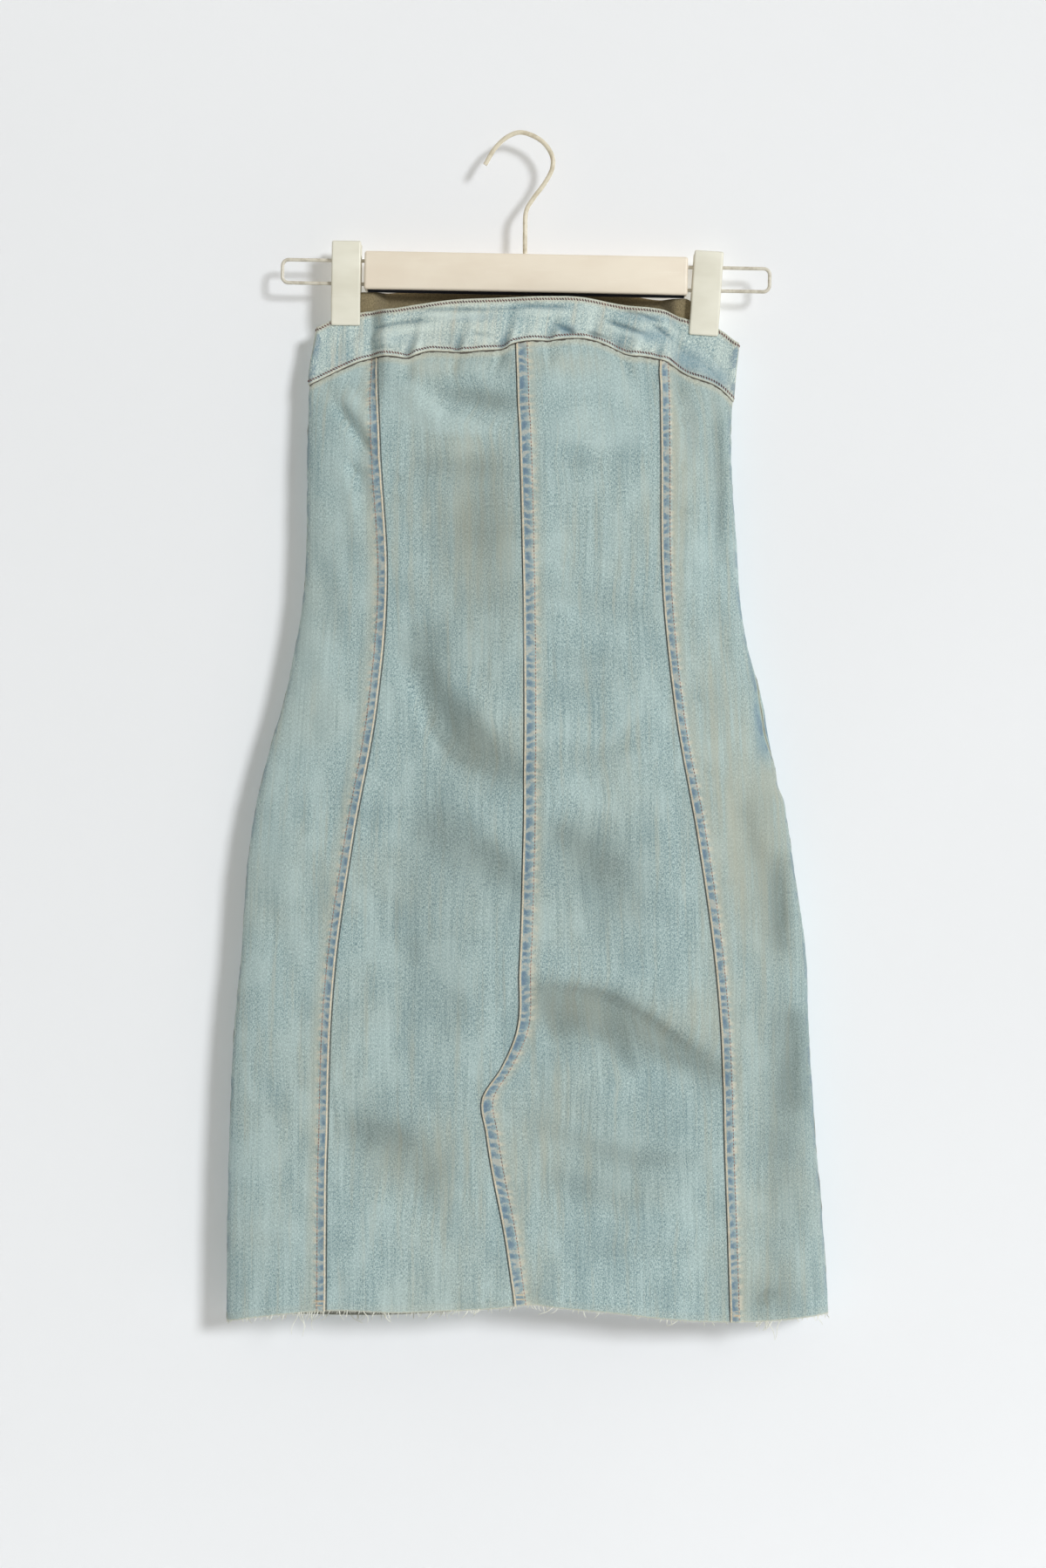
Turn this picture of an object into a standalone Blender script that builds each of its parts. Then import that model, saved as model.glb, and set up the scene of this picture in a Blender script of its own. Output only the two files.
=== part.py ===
"""A strapless denim dress pinched by the two clips of a flat-bar hanger.

The frame: the origin is the inside crown of the hanger's hook, +Z is up, +X is to the right of
someone who faces the dress, and -Y is the side that the front faces. Tables are in millimetres.
A drop is a distance down from the origin, and a place across is a distance along X.
"""

import math

import bmesh
import bpy
import numpy as np
from mathutils import Vector

MM = 0.001

# The cloth
PLY = 1.2
BAND_PLY = 2.4
SEAM_GAP = 0.3
PINCHED = BAND_PLY / 2 + SEAM_GAP / 2
ROUNDNESS = {"front": 0.85, "back": 0.45}

# Grid columns of the four panels of a side, left to right, and rows of a panel and of a band
PANEL_COLUMNS = (7, 5, 5, 7)
PANEL_ROWS = 28
BAND_ROWS = 4

# The silhouette: drop, left edge, right edge, depth of the front, depth of the back
OUTLINE = np.array([
    (110, -158.0, 166.0, 15.0, 12.5),
    (152, -159.8, 168.0, 17.0, 12.5),
    (185, -165.0, 164.5, 21.0, 13.0),
    (240, -167.4, 161.7, 25.0, 14.0),
    (320, -168.2, 166.0, 25.0, 14.0),
    (360, -170.7, 168.4, 24.5, 14.0),
    (400, -176.9, 174.5, 25.0, 15.0),
    (440, -185.5, 185.7, 26.0, 16.0),
    (480, -197.2, 192.7, 27.0, 17.0),
    (520, -207.1, 202.8, 28.0, 17.5),
    (570, -214.4, 210.4, 28.5, 18.0),
    (630, -218.5, 219.2, 29.0, 18.0),
    (700, -224.8, 222.3, 29.5, 18.0),
    (780, -228.3, 227.3, 30.0, 18.0),
    (850, -229.9, 233.4, 30.5, 18.0),
    (930, -230.5, 238.2, 31.0, 18.0),
])

# Seams between the front panels: drop, left princess seam, centre seam, right princess seam
FRONT_SEAMS = np.array([
    (110, -110.0, -7.0, 102.5),
    (185, -112.0, -5.2, 105.4),
    (250, -109.8, -2.6, 106.2),
    (350, -104.6, -0.2, 107.4),
    (450, -112.8, 0.7, 117.3),
    (550, -130.7, -0.1, 134.7),
    (650, -144.7, -3.3, 148.4),
    (700, -148.3, -6.4, 152.5),
    (725, -149.1, -17.5, 153.8),
    (747, -149.7, -31.5, 154.3),
    (775, -150.3, -28.7, 154.7),
    (800, -151.0, -24.9, 155.5),
    (850, -151.4, -15.1, 157.2),
    (930, -151.9, -4.0, 159.6),
])

# Seams between the back panels, in the same columns
BACK_SEAMS = np.array([
    (110, -92.0, 0.5, 94.0),
    (240, -93.0, 0.0, 93.0),
    (350, -90.0, 0.0, 92.0),
    (450, -97.0, 1.0, 100.0),
    (550, -114.0, 0.5, 116.0),
    (650, -127.0, -0.5, 128.0),
    (780, -134.0, -1.0, 136.0),
    (930, -139.0, 0.0, 141.0),
])

# Edge lines: across, drop
FRONT_TOP = np.array([
    (-160, 150.5), (-150, 145.4), (-124, 141.0), (-115, 138.0), (-82, 135.0), (-54, 131.7),
    (-20, 130.4), (18, 129.0), (42, 129.4), (77, 135.6), (108, 138.9), (127, 144.0),
    (152, 151.5), (168, 163.2),
])
BACK_TOP = np.array([
    (-160, 150.5), (-150, 147.0), (-138, 138.5), (-128, 129.0), (-119, 124.0), (-104, 122.4),
    (-80, 119.6), (-40, 117.2), (0, 116.6), (40, 118.4), (80, 122.6), (104, 127.0),
    (119, 129.6), (130, 137.0), (140, 147.0), (152, 156.5), (168, 163.2),
])
FRONT_BAND_SEAM = np.array([
    (-165, 195.3), (-150, 188.3), (-137, 182.0), (-124, 176.4), (-111, 174.2), (-88, 174.8),
    (-46, 173.0), (-20, 170.4), (8, 163.6), (44, 162.2), (58, 165.2), (82, 174.0),
    (102, 176.9), (115, 181.0), (128, 188.6), (155, 200.4), (163, 208.4),
])
BACK_BAND_SEAM = np.array([
    (-165, 195.3), (-130, 181.0), (-80, 168.0), (0, 163.0), (80, 169.0), (130, 187.0),
    (163, 208.4),
])
FRONT_HEM = np.array([
    (-231, 923.7), (-202, 918.2), (-175, 914.4), (-152, 912.2), (-94, 912.7), (-57, 911.0),
    (-20, 909.0), (5, 906.5), (30, 909.0), (67, 912.6), (114, 918.2), (158, 920.8),
    (210, 919.9), (238, 917.6),
])
BACK_HEM = np.array([
    (-231, 923.7), (-175, 922.0), (-100, 922.2), (-40, 920.4), (20, 915.5), (60, 917.0),
    (114, 921.0), (158, 922.6), (210, 921.4), (238, 917.6),
])

# The largest folds, each a soft trough along a straight line:
# across and drop where it starts, across and drop where it ends, half width, depth
FRONT_FOLDS = np.array([
    (-66, 205, -7, 211, 11, 3.0),
    (-151, 223, -121, 253, 11, 2.6),
    (147, 204, 153, 330, 10, 2.2),
    (41, 262, 68, 264, 14, 1.6),
    (14, 364, 109, 371, 15, 1.8),
    (-78, 398, -56, 463, 16, 3.2),
    (-56, 463, -7, 497, 16, 3.2),
    (-68, 540, -7, 580, 18, 2.6),
    (14, 540, 41, 575, 16, 2.0),
    (200, 570, 200, 629, 12, 2.2),
    (10, 670, 68, 687, 14, 3.0),
    (68, 687, 150, 728, 14, 3.0),
    (209, 690, 209, 748, 12, 2.2),
    (-129, 770, -78, 803, 15, 3.0),
])
BACK_FOLDS = np.array([
    (-118, 232, -62, 214, 13, 2.4),
    (62, 212, 124, 252, 13, 2.6),
    (-88, 418, -24, 492, 17, 3.0),
    (30, 452, 84, 410, 16, 2.4),
    (18, 566, 98, 604, 17, 2.6),
    (-140, 694, -58, 728, 16, 3.0),
    (66, 792, 148, 768, 15, 2.6),
    (-196, 560, -200, 640, 13, 2.0),
])

# The hanger
HOOK_WIRE = 3.6
BAR_LENGTH = 251.5
BAR_DEPTH = 17.0
BAR_HEIGHT = 29.8
BAR_ROUNDING = 2.0
BAR_ACROSS = 2.4
BAR_DROP = 109.1
HANGER_TILT = math.radians(1.1)
RAIL_WIRE = 2.8
RAIL_HEIGHT = 18.0
RAIL_LOWER = 0.8
RAIL_REACH = 191.4
RAIL_CORNER = 4.8

# The centre line of the hook's wire, from its tip over the crown and down to the bar
HOOK_ROUTE = np.array([
    (-29.6, 23.4), (-21.8, 10.5), (-11.6, 1.3), (-0.3, -HOOK_WIRE / 2), (14.0, 4.4),
    (22.2, 15.2), (22.9, 25.9), (17.0, 37.7), (8.2, 49.4), (2.4, 60.0), (1.6, 76.0),
    (1.6, 93.9),
])

# The clips: across and drop of the middle of the lower edge, and the lean to the right
CLIPS = {
    "left": (-138.2, 149.4, math.radians(0.9)),
    "right": (140.4, 157.2, math.radians(3.9)),
}
CLIP_WIDTH = 22.8
CLIP_HEIGHT = 65.5
JAW = 2.35
JAW_GRIP = PINCHED + BAND_PLY / 2 + SEAM_GAP
JAW_OPEN = 5.0
JAW_GRIP_HEIGHT = 9.0
JAW_SLOPE_END = 16.0
CLIP_CLEARANCE = 0.9
CLIP_ROUNDING = 0.7
GRIP_MARGIN = 8.0
GRIP_BELOW = 6.0
GRIP_SPREAD = 14.0
GRIP_TAIL = 70.0

COLOURS = {
    "denim_band": (0.440, 0.500, 0.470, 1.0),
    "denim_panel": (0.375, 0.470, 0.450, 1.0),
    "hook_wire": (0.800, 0.760, 0.690, 1.0),
    "bar_cream": (0.820, 0.730, 0.610, 1.0),
    "rail_wire": (0.610, 0.560, 0.510, 1.0),
    "clip_cream": (0.720, 0.710, 0.620, 1.0),
}


def clear_scene():
    for old in list(bpy.data.objects):
        bpy.data.objects.remove(old, do_unlink=True)


def material(slot, roughness, metallic=0.0):
    made = bpy.data.materials.get(slot)
    if made is None:
        made = bpy.data.materials.new(slot)
        made.use_nodes = True
        shader = made.node_tree.nodes["Principled BSDF"]
        shader.inputs["Base Color"].default_value = COLOURS[slot]
        shader.inputs["Roughness"].default_value = roughness
        shader.inputs["Metallic"].default_value = metallic
    return made


def smooth_line(stations, values, at):
    """A smooth line through a table's values, read at any places along its stations."""
    slopes = np.gradient(values, stations)
    at = np.clip(at, stations[0], stations[-1])
    span = np.clip(np.searchsorted(stations, at) - 1, 0, len(stations) - 2)
    width = stations[span + 1] - stations[span]
    t = (at - stations[span]) / width
    start = values[span] * (1 + 2 * t) * (1 - t) ** 2 + slopes[span] * width * t * (1 - t) ** 2
    end = values[span + 1] * (3 - 2 * t) * t**2 - slopes[span + 1] * width * (1 - t) * t**2
    return start + end


def ease(t):
    """From 0 to 1 with soft ends."""
    t = np.clip(t, 0.0, 1.0)
    return t * t * (3 - 2 * t)


def outline_at(drop):
    return [smooth_line(OUTLINE[:, 0], OUTLINE[:, column], drop) for column in range(1, 5)]


def grip(across, drop):
    """How firmly a clip presses the cloth together: 1 between its jaws, 0 far from it."""
    held = np.zeros_like(across)
    for clip_across, clip_drop, lean in CLIPS.values():
        beside = np.abs(across - clip_across) - CLIP_WIDTH / 2 - GRIP_MARGIN
        below = drop - clip_drop - GRIP_BELOW
        held = np.maximum(held, (1 - ease(beside / GRIP_SPREAD)) * (1 - ease(below / GRIP_TAIL)))
    return held


def fold_depth(folds, across, drop):
    """How far the folds of one side push its cloth inwards."""
    pushed = np.zeros_like(across)
    for start_x, start_drop, end_x, end_drop, half_width, depth in folds:
        along_x = end_x - start_x
        along_drop = end_drop - start_drop
        length_squared = along_x**2 + along_drop**2
        t = ((across - start_x) * along_x + (drop - start_drop) * along_drop) / length_squared
        t = np.clip(t, 0.0, 1.0)
        away = np.hypot(across - start_x - t * along_x, drop - start_drop - t * along_drop)
        pushed += depth * np.exp(-((away / half_width) ** 2))
    return pushed


def dress_surface(turn, drop):
    """The middle of the cloth. The turn runs from the left side seam (0) over the front to the
    right side seam (pi), and over the back for negative turns and for turns past pi."""
    left, right, front_depth, back_depth = outline_at(drop)
    across = (left + right) / 2 - (right - left) / 2 * np.cos(turn)
    bulge = np.abs(np.sin(turn))
    on_front = np.sin(turn) >= 0
    depth = np.where(
        on_front,
        front_depth * bulge ** ROUNDNESS["front"],
        back_depth * bulge ** ROUNDNESS["back"],
    )
    folds = np.where(
        on_front, fold_depth(FRONT_FOLDS, across, drop), fold_depth(BACK_FOLDS, across, drop)
    )
    depth = depth - folds * ease(bulge / 0.5)
    pressed = PINCHED * np.minimum(1.0, bulge / 0.1) ** 0.5
    held = grip(across, drop)
    depth = depth * (1 - held) + pressed * held
    return np.stack([across, np.where(on_front, -depth, depth), -drop], axis=-1)


def directions(turn, drop):
    """Unit vectors along the turn, down the cloth, and out of the dress."""
    step_turn = 0.01
    step_drop = 1.0
    along = dress_surface(turn + step_turn, drop) - dress_surface(turn - step_turn, drop)
    down = dress_surface(turn, drop + step_drop) - dress_surface(turn, drop - step_drop)
    out = np.cross(down, along)
    return [v / np.linalg.norm(v, axis=-1, keepdims=True) for v in (along, down, out)]


def column_turns(side, drop):
    """Turns of a side's grid columns at one drop each: the panels' seams, and even steps
    between them. drop has one value for each column."""
    left, right, _, _ = outline_at(drop)
    table = FRONT_SEAMS if side == "front" else BACK_SEAMS
    seams = [np.zeros_like(drop)]
    for column in range(1, 4):
        across = smooth_line(table[:, 0], table[:, column], drop)
        seams.append(np.arccos(((left + right) / 2 - across) / ((right - left) / 2)))
    seams.append(np.full_like(drop, math.pi))
    turns = np.zeros_like(drop)
    first = 0
    for panel, count in enumerate(PANEL_COLUMNS):
        for step in range(count + 1):
            place = first + step
            share = step / count
            turns[place] = seams[panel][place] * (1 - share) + seams[panel + 1][place] * share
        first += count
    return turns if side == "front" else -turns


def edge_drops(side, edge):
    """The drop at which each column of a side meets an edge line."""
    drop = np.full(sum(PANEL_COLUMNS) + 1, float(edge[:, 1].mean()))
    for _ in range(6):
        across = dress_surface(column_turns(side, drop), drop)[:, 0]
        drop = smooth_line(edge[:, 0], edge[:, 1], across)
    return drop


def side_grid(side, upper_edge, lower_edge, rows):
    """Turns and drops of a grid that runs from one edge line to another, over a whole side."""
    upper = edge_drops(side, upper_edge)
    lower = edge_drops(side, lower_edge)
    drops = np.array([upper + (lower - upper) * row / rows for row in range(rows + 1)])
    turns = np.array([column_turns(side, row) for row in drops])
    return turns, drops


def loft(name, slot, outer, inner):
    """A closed sheet between an outer and an inner grid of points, in millimetres."""
    rows, columns = outer.shape[:2]
    bm = bmesh.new()
    grids = []
    for points in (outer, inner):
        grids.append([[bm.verts.new(Vector(p) * MM) for p in row] for row in points])
    for grid, flip in zip(grids, (False, True)):
        for r in range(rows - 1):
            for c in range(columns - 1):
                ring = [grid[r][c], grid[r + 1][c], grid[r + 1][c + 1], grid[r][c + 1]]
                bm.faces.new(ring[::-1] if flip else ring)
    border = [(0, c) for c in range(columns - 1)]
    border += [(r, columns - 1) for r in range(rows - 1)]
    border += [(rows - 1, c) for c in range(columns - 1, 0, -1)]
    border += [(r, 0) for r in range(rows - 1, 0, -1)]
    for here, after in zip(border, border[1:] + border[:1]):
        corners = [grids[0][here[0]][here[1]], grids[0][after[0]][after[1]]]
        corners += [grids[1][after[0]][after[1]], grids[1][here[0]][here[1]]]
        bm.faces.new(corners)
    bmesh.ops.recalc_face_normals(bm, faces=bm.faces)
    mesh = bpy.data.meshes.new(name)
    bm.to_mesh(mesh)
    bm.free()
    return add_object(name, mesh, slot, 0.85)


def add_object(name, mesh, slot, roughness, metallic=0.0):
    made = bpy.data.objects.new(name, mesh)
    mesh.materials.append(material(slot, roughness, metallic))
    parts.objects.link(made)
    return made


def cloth_piece(name, slot, side, turns, drops, thickness, seamed):
    """A piece of cloth on the dress's surface. seamed says which of its upper, lower, left and
    right edges stand back by half a seam gap."""
    middle = dress_surface(turns, drops)
    along, down, out = directions(turns, drops)
    if side == "back":
        along = -along
    half_gap = SEAM_GAP / 2
    middle[0] += down[0] * half_gap * seamed["upper"]
    middle[-1] -= down[-1] * half_gap * seamed["lower"]
    middle[:, 0] += along[:, 0] * half_gap * seamed["left"]
    middle[:, -1] -= along[:, -1] * half_gap * seamed["right"]
    return loft(name, slot, middle + out * thickness / 2, middle - out * thickness / 2)


def dress_side(side, top, band_seam, hem):
    turns, drops = side_grid(side, top, band_seam, BAND_ROWS)
    edges = {"upper": 0, "lower": 1, "left": 1, "right": 1}
    cloth_piece("band_" + side, "denim_band", side, turns, drops, BAND_PLY, edges)
    turns, drops = side_grid(side, band_seam, hem, PANEL_ROWS)
    edges = {"upper": 1, "lower": 0, "left": 1, "right": 1}
    first = 0
    for part, count in zip(("side_left", "centre_left", "centre_right", "side_right"), PANEL_COLUMNS):
        span = slice(first, first + count + 1)
        name = side + "_" + part
        cloth_piece(name, "denim_panel", side, turns[:, span], drops[:, span], PLY, edges)
        first += count


def wire(name, slot, route, diameter):
    """A round wire along a route of (x, y, z) points in millimetres."""
    curve = bpy.data.curves.new(name, "CURVE")
    curve.dimensions = "3D"
    curve.bevel_depth = diameter / 2 * MM
    curve.bevel_resolution = 2
    curve.use_fill_caps = True
    spline = curve.splines.new("POLY")
    spline.points.add(len(route) - 1)
    for point, place in zip(spline.points, route):
        point.co = (*(Vector(place) * MM), 1.0)
    return add_object(name, curve, slot, 0.35, 0.6)


def hook():
    steps = 4
    stations = np.arange(len(HOOK_ROUTE), dtype=float)
    at = np.linspace(0, stations[-1], steps * (len(HOOK_ROUTE) - 1) + 1)
    across = smooth_line(stations, HOOK_ROUTE[:, 0], at)
    drop = smooth_line(stations, HOOK_ROUTE[:, 1], at)
    wire("hanger_hook", "hook_wire", [(x, 0.0, -d) for x, d in zip(across, drop)], HOOK_WIRE)


def hanger_frame():
    """The empty that the bar and its rails hang from, turned by the hanger's tilt."""
    frame = bpy.data.objects.new("hanger_frame", None)
    frame.location = Vector((BAR_ACROSS, 0.0, -BAR_DROP)) * MM
    frame.rotation_euler = (0.0, HANGER_TILT, 0.0)
    parts.objects.link(frame)
    return frame


def bar(frame):
    bm = bmesh.new()
    bmesh.ops.create_cube(bm, size=1.0)
    bmesh.ops.scale(bm, vec=Vector((BAR_LENGTH, BAR_DEPTH, BAR_HEIGHT)) * MM, verts=bm.verts)
    mesh = bpy.data.meshes.new("hanger_bar")
    bm.to_mesh(mesh)
    bm.free()
    made = add_object("hanger_bar", mesh, "bar_cream", 0.5)
    made.parent = frame
    rounding = made.modifiers.new("rounding", "BEVEL")
    rounding.width = BAR_ROUNDING * MM
    rounding.segments = 3


def rail(frame, hand):
    """The wire loop that sticks out of one end of the bar."""
    sign = -1 if hand == "left" else 1
    start = BAR_LENGTH / 2 + SEAM_GAP
    end = RAIL_REACH - RAIL_WIRE / 2
    half = RAIL_HEIGHT / 2
    bend = end - RAIL_CORNER
    route = [(start, half), ((start + bend) / 2, half)]
    for centre, first in ((half - RAIL_CORNER, 90), (RAIL_CORNER - half, 0)):
        for step in range(5):
            angle = math.radians(first - 22.5 * step)
            route.append((bend + RAIL_CORNER * math.cos(angle), centre + RAIL_CORNER * math.sin(angle)))
    route += [((start + bend) / 2, -half), (start, -half)]
    points = [(sign * x, 0.0, z - RAIL_LOWER) for x, z in route]
    wire("hanger_rail_" + hand, "rail_wire", points, RAIL_WIRE).parent = frame


def rail_drops(across):
    """Drops of the upper and the lower rail wire at a place across."""
    middle = BAR_DROP + RAIL_LOWER + (across - BAR_ACROSS) * math.tan(HANGER_TILT)
    return middle - RAIL_HEIGHT / 2, middle + RAIL_HEIGHT / 2


def clip(hand):
    """Two jaws and the block between the rail's wires that they turn on, as one H-shaped piece."""
    across, drop, lean = CLIPS[hand]
    upper, lower = rail_drops(across)
    block_top = drop - upper - RAIL_WIRE / 2 - CLIP_CLEARANCE
    block_bottom = drop - lower + RAIL_WIRE / 2 + CLIP_CLEARANCE
    outside = JAW_OPEN + JAW
    half = [
        (JAW_OPEN, block_bottom), (JAW_OPEN, JAW_SLOPE_END), (JAW_GRIP, JAW_GRIP_HEIGHT),
        (JAW_GRIP, 0.0), (JAW_GRIP + JAW, 0.0), (outside, JAW_SLOPE_END), (outside, CLIP_HEIGHT),
        (JAW_OPEN, CLIP_HEIGHT), (JAW_OPEN, block_top),
    ]
    section = half + [(-y, z) for y, z in reversed(half)]
    bm = bmesh.new()
    left_end = -CLIP_WIDTH / 2
    face = bm.faces.new([bm.verts.new(Vector((left_end, y, z)) * MM) for y, z in section])
    swept = bmesh.ops.extrude_face_region(bm, geom=[face])
    corners = [v for v in swept["geom"] if isinstance(v, bmesh.types.BMVert)]
    bmesh.ops.translate(bm, vec=(CLIP_WIDTH * MM, 0.0, 0.0), verts=corners)
    bmesh.ops.recalc_face_normals(bm, faces=bm.faces)
    mesh = bpy.data.meshes.new("clip_" + hand)
    bm.to_mesh(mesh)
    bm.free()
    made = add_object("clip_" + hand, mesh, "clip_cream", 0.45)
    made.location = Vector((across, 0.0, -drop)) * MM
    made.rotation_euler = (0.0, lean, 0.0)
    rounding = made.modifiers.new("rounding", "BEVEL")
    rounding.width = CLIP_ROUNDING * MM
    rounding.segments = 2


clear_scene()
parts = bpy.data.collections.new("denim_dress_on_hanger")
bpy.context.scene.collection.children.link(parts)
dress_side("front", FRONT_TOP, FRONT_BAND_SEAM, FRONT_HEM)
dress_side("back", BACK_TOP, BACK_BAND_SEAM, BACK_HEM)
hook()
tilted = hanger_frame()
bar(tilted)
for hand in ("left", "right"):
    rail(tilted, hand)
    clip(hand)
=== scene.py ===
import math
import random

import bpy
import numpy as np
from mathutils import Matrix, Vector


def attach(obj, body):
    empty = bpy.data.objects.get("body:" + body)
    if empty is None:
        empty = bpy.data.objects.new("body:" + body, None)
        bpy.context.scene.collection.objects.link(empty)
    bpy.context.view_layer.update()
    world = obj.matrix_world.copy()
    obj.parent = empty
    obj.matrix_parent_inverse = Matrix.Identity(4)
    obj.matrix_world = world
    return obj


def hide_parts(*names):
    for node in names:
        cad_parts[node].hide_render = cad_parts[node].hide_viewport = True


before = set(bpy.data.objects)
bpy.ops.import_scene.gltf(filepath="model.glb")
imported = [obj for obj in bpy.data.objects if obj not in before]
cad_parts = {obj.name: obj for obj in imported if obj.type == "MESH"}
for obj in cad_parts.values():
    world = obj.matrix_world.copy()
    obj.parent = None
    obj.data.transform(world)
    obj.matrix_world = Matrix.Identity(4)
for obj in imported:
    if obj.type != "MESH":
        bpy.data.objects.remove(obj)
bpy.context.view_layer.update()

# The panels of the dress
# Eight panels of light-wash denim twill, four in front and four behind, cut to widen from the
# waist to a raw hem. They hang from the top bands and are wide and shallow, as on a hanger.
# Lengths are in millimetres. A drop is a distance down from the inside crown of the hook.
MM = 0.001
DENIM = 1.2
DOUBLE_DENIM = 2.4
PINCHED = 1.35
SEAM_GAP = 0.3
ROUNDNESS = {"front": 0.85, "back": 0.45}

# The silhouette: drop, left edge, right edge, depth of the front, depth of the back
OUTLINE = np.array([
    (110, -158.0, 166.0, 15.0, 12.5),
    (152, -159.8, 168.0, 17.0, 12.5),
    (185, -165.0, 164.5, 21.0, 13.0),
    (240, -167.4, 161.7, 25.0, 14.0),
    (320, -168.2, 166.0, 25.0, 14.0),
    (360, -170.7, 168.4, 24.5, 14.0),
    (400, -176.9, 174.5, 25.0, 15.0),
    (440, -185.5, 185.7, 26.0, 16.0),
    (480, -197.2, 192.7, 27.0, 17.0),
    (498, -201.6, 196.9, 27.4, 17.2),
    (509, -204.4, 198.3, 27.7, 17.4),
    (518, -206.6, 202.4, 28.0, 17.5),
    (536, -209.8, 205.6, 28.2, 17.7),
    (570, -214.4, 210.4, 28.5, 18.0),
    (630, -218.5, 219.2, 29.0, 18.0),
    (700, -224.8, 222.3, 29.5, 18.0),
    (780, -228.3, 227.3, 30.0, 18.0),
    (850, -229.9, 233.4, 30.5, 18.0),
    (930, -230.5, 238.2, 31.0, 18.0),
])

# Seams of the front panels: drop, left princess seam, centre seam, right princess seam
FRONT_SEAMS = np.array([
    (110, -110.0, -7.0, 102.5),
    (185, -112.0, -5.2, 105.4),
    (250, -109.8, -2.6, 106.2),
    (350, -104.6, -0.2, 107.4),
    (450, -112.8, 0.7, 117.3),
    (550, -130.7, -0.1, 134.7),
    (650, -144.7, -3.3, 148.4),
    (700, -148.3, -6.4, 152.5),
    (725, -149.1, -17.5, 153.8),
    (747, -149.7, -31.5, 154.3),
    (775, -150.3, -28.7, 154.7),
    (800, -151.0, -24.9, 155.5),
    (850, -151.4, -15.1, 157.2),
    (930, -151.9, -4.0, 159.6),
])

# Seams of the back panels, in the same columns
BACK_SEAMS = np.array([
    (110, -92.0, 0.5, 94.0),
    (240, -93.0, 0.0, 93.0),
    (350, -90.0, 0.0, 92.0),
    (450, -97.0, 1.0, 100.0),
    (550, -114.0, 0.5, 116.0),
    (650, -127.0, -0.5, 128.0),
    (780, -134.0, -1.0, 136.0),
    (930, -139.0, 0.0, 141.0),
])

# Where the panels meet the bands, and the hem: across, drop
FRONT_BAND_SEAM = np.array([
    (-165, 195.3), (-150, 188.3), (-137, 182.0), (-124, 176.8), (-111, 174.9), (-101, 175.6),
    (-89, 176.8), (-84, 175.4), (-78, 173.2), (-60, 172.4), (-48, 173.0), (-33, 171.9),
    (-24, 171.3), (-15, 169.8), (-9, 166.8), (-2, 164.8), (8, 163.8), (20, 163.8), (32, 162.2),
    (44, 161.9), (53, 163.0), (62, 166.2), (71, 170.3), (79, 174.0), (84, 175.3), (92, 175.7),
    (102, 177.1), (115, 181.0), (128, 188.6), (155, 200.4), (163, 208.4),
])
BACK_BAND_SEAM = np.array([
    (-165, 195.3), (-130, 181.0), (-80, 168.0), (0, 163.0), (80, 169.0), (130, 187.0),
    (163, 208.4),
])
FRONT_HEM = np.array([
    (-231, 923.7), (-202, 918.2), (-175, 914.4), (-152, 912.2), (-94, 912.7), (-57, 911.0),
    (-20, 909.0), (5, 906.5), (30, 909.0), (67, 912.6), (114, 918.2), (158, 920.8),
    (210, 919.9), (238, 917.6),
])
BACK_HEM = np.array([
    (-231, 923.7), (-175, 922.2), (-150, 923.0), (-100, 923.2), (-40, 919.4), (20, 912.0),
    (60, 914.0), (114, 918.0), (158, 920.6), (210, 920.4), (238, 917.6),
])

# The main folds, each a soft trough along a straight line:
# across and drop of its start, across and drop of its end, half width, depth
FRONT_FOLDS = np.array([
    (-66, 205, -7, 211, 11, 3.0),
    (147, 204, 153, 330, 10, 2.2),
    (41, 262, 68, 264, 17, 1.6),
    (14, 364, 109, 371, 19, 1.9),
    (-78, 398, -56, 463, 20, 3.0),
    (-56, 463, -7, 497, 19, 3.2),
    (-68, 540, -7, 580, 22, 2.6),
    (14, 540, 52, 572, 22, 1.6),
    (200, 570, 200, 629, 12, 2.2),
    (10, 670, 68, 687, 17, 3.2),
    (68, 687, 150, 728, 16, 3.2),
    (209, 690, 209, 748, 12, 2.2),
    (-129, 770, -78, 803, 24, 2.1),
])
BACK_FOLDS = np.array([
    (-118, 232, -62, 214, 13, 2.4),
    (62, 212, 124, 252, 13, 2.6),
    (-88, 418, -24, 492, 17, 3.0),
    (30, 452, 84, 410, 16, 2.4),
    (18, 566, 98, 604, 17, 2.6),
    (-140, 694, -58, 728, 16, 3.0),
    (66, 792, 148, 768, 15, 2.6),
    (-196, 560, -200, 640, 13, 2.0),
])

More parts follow.
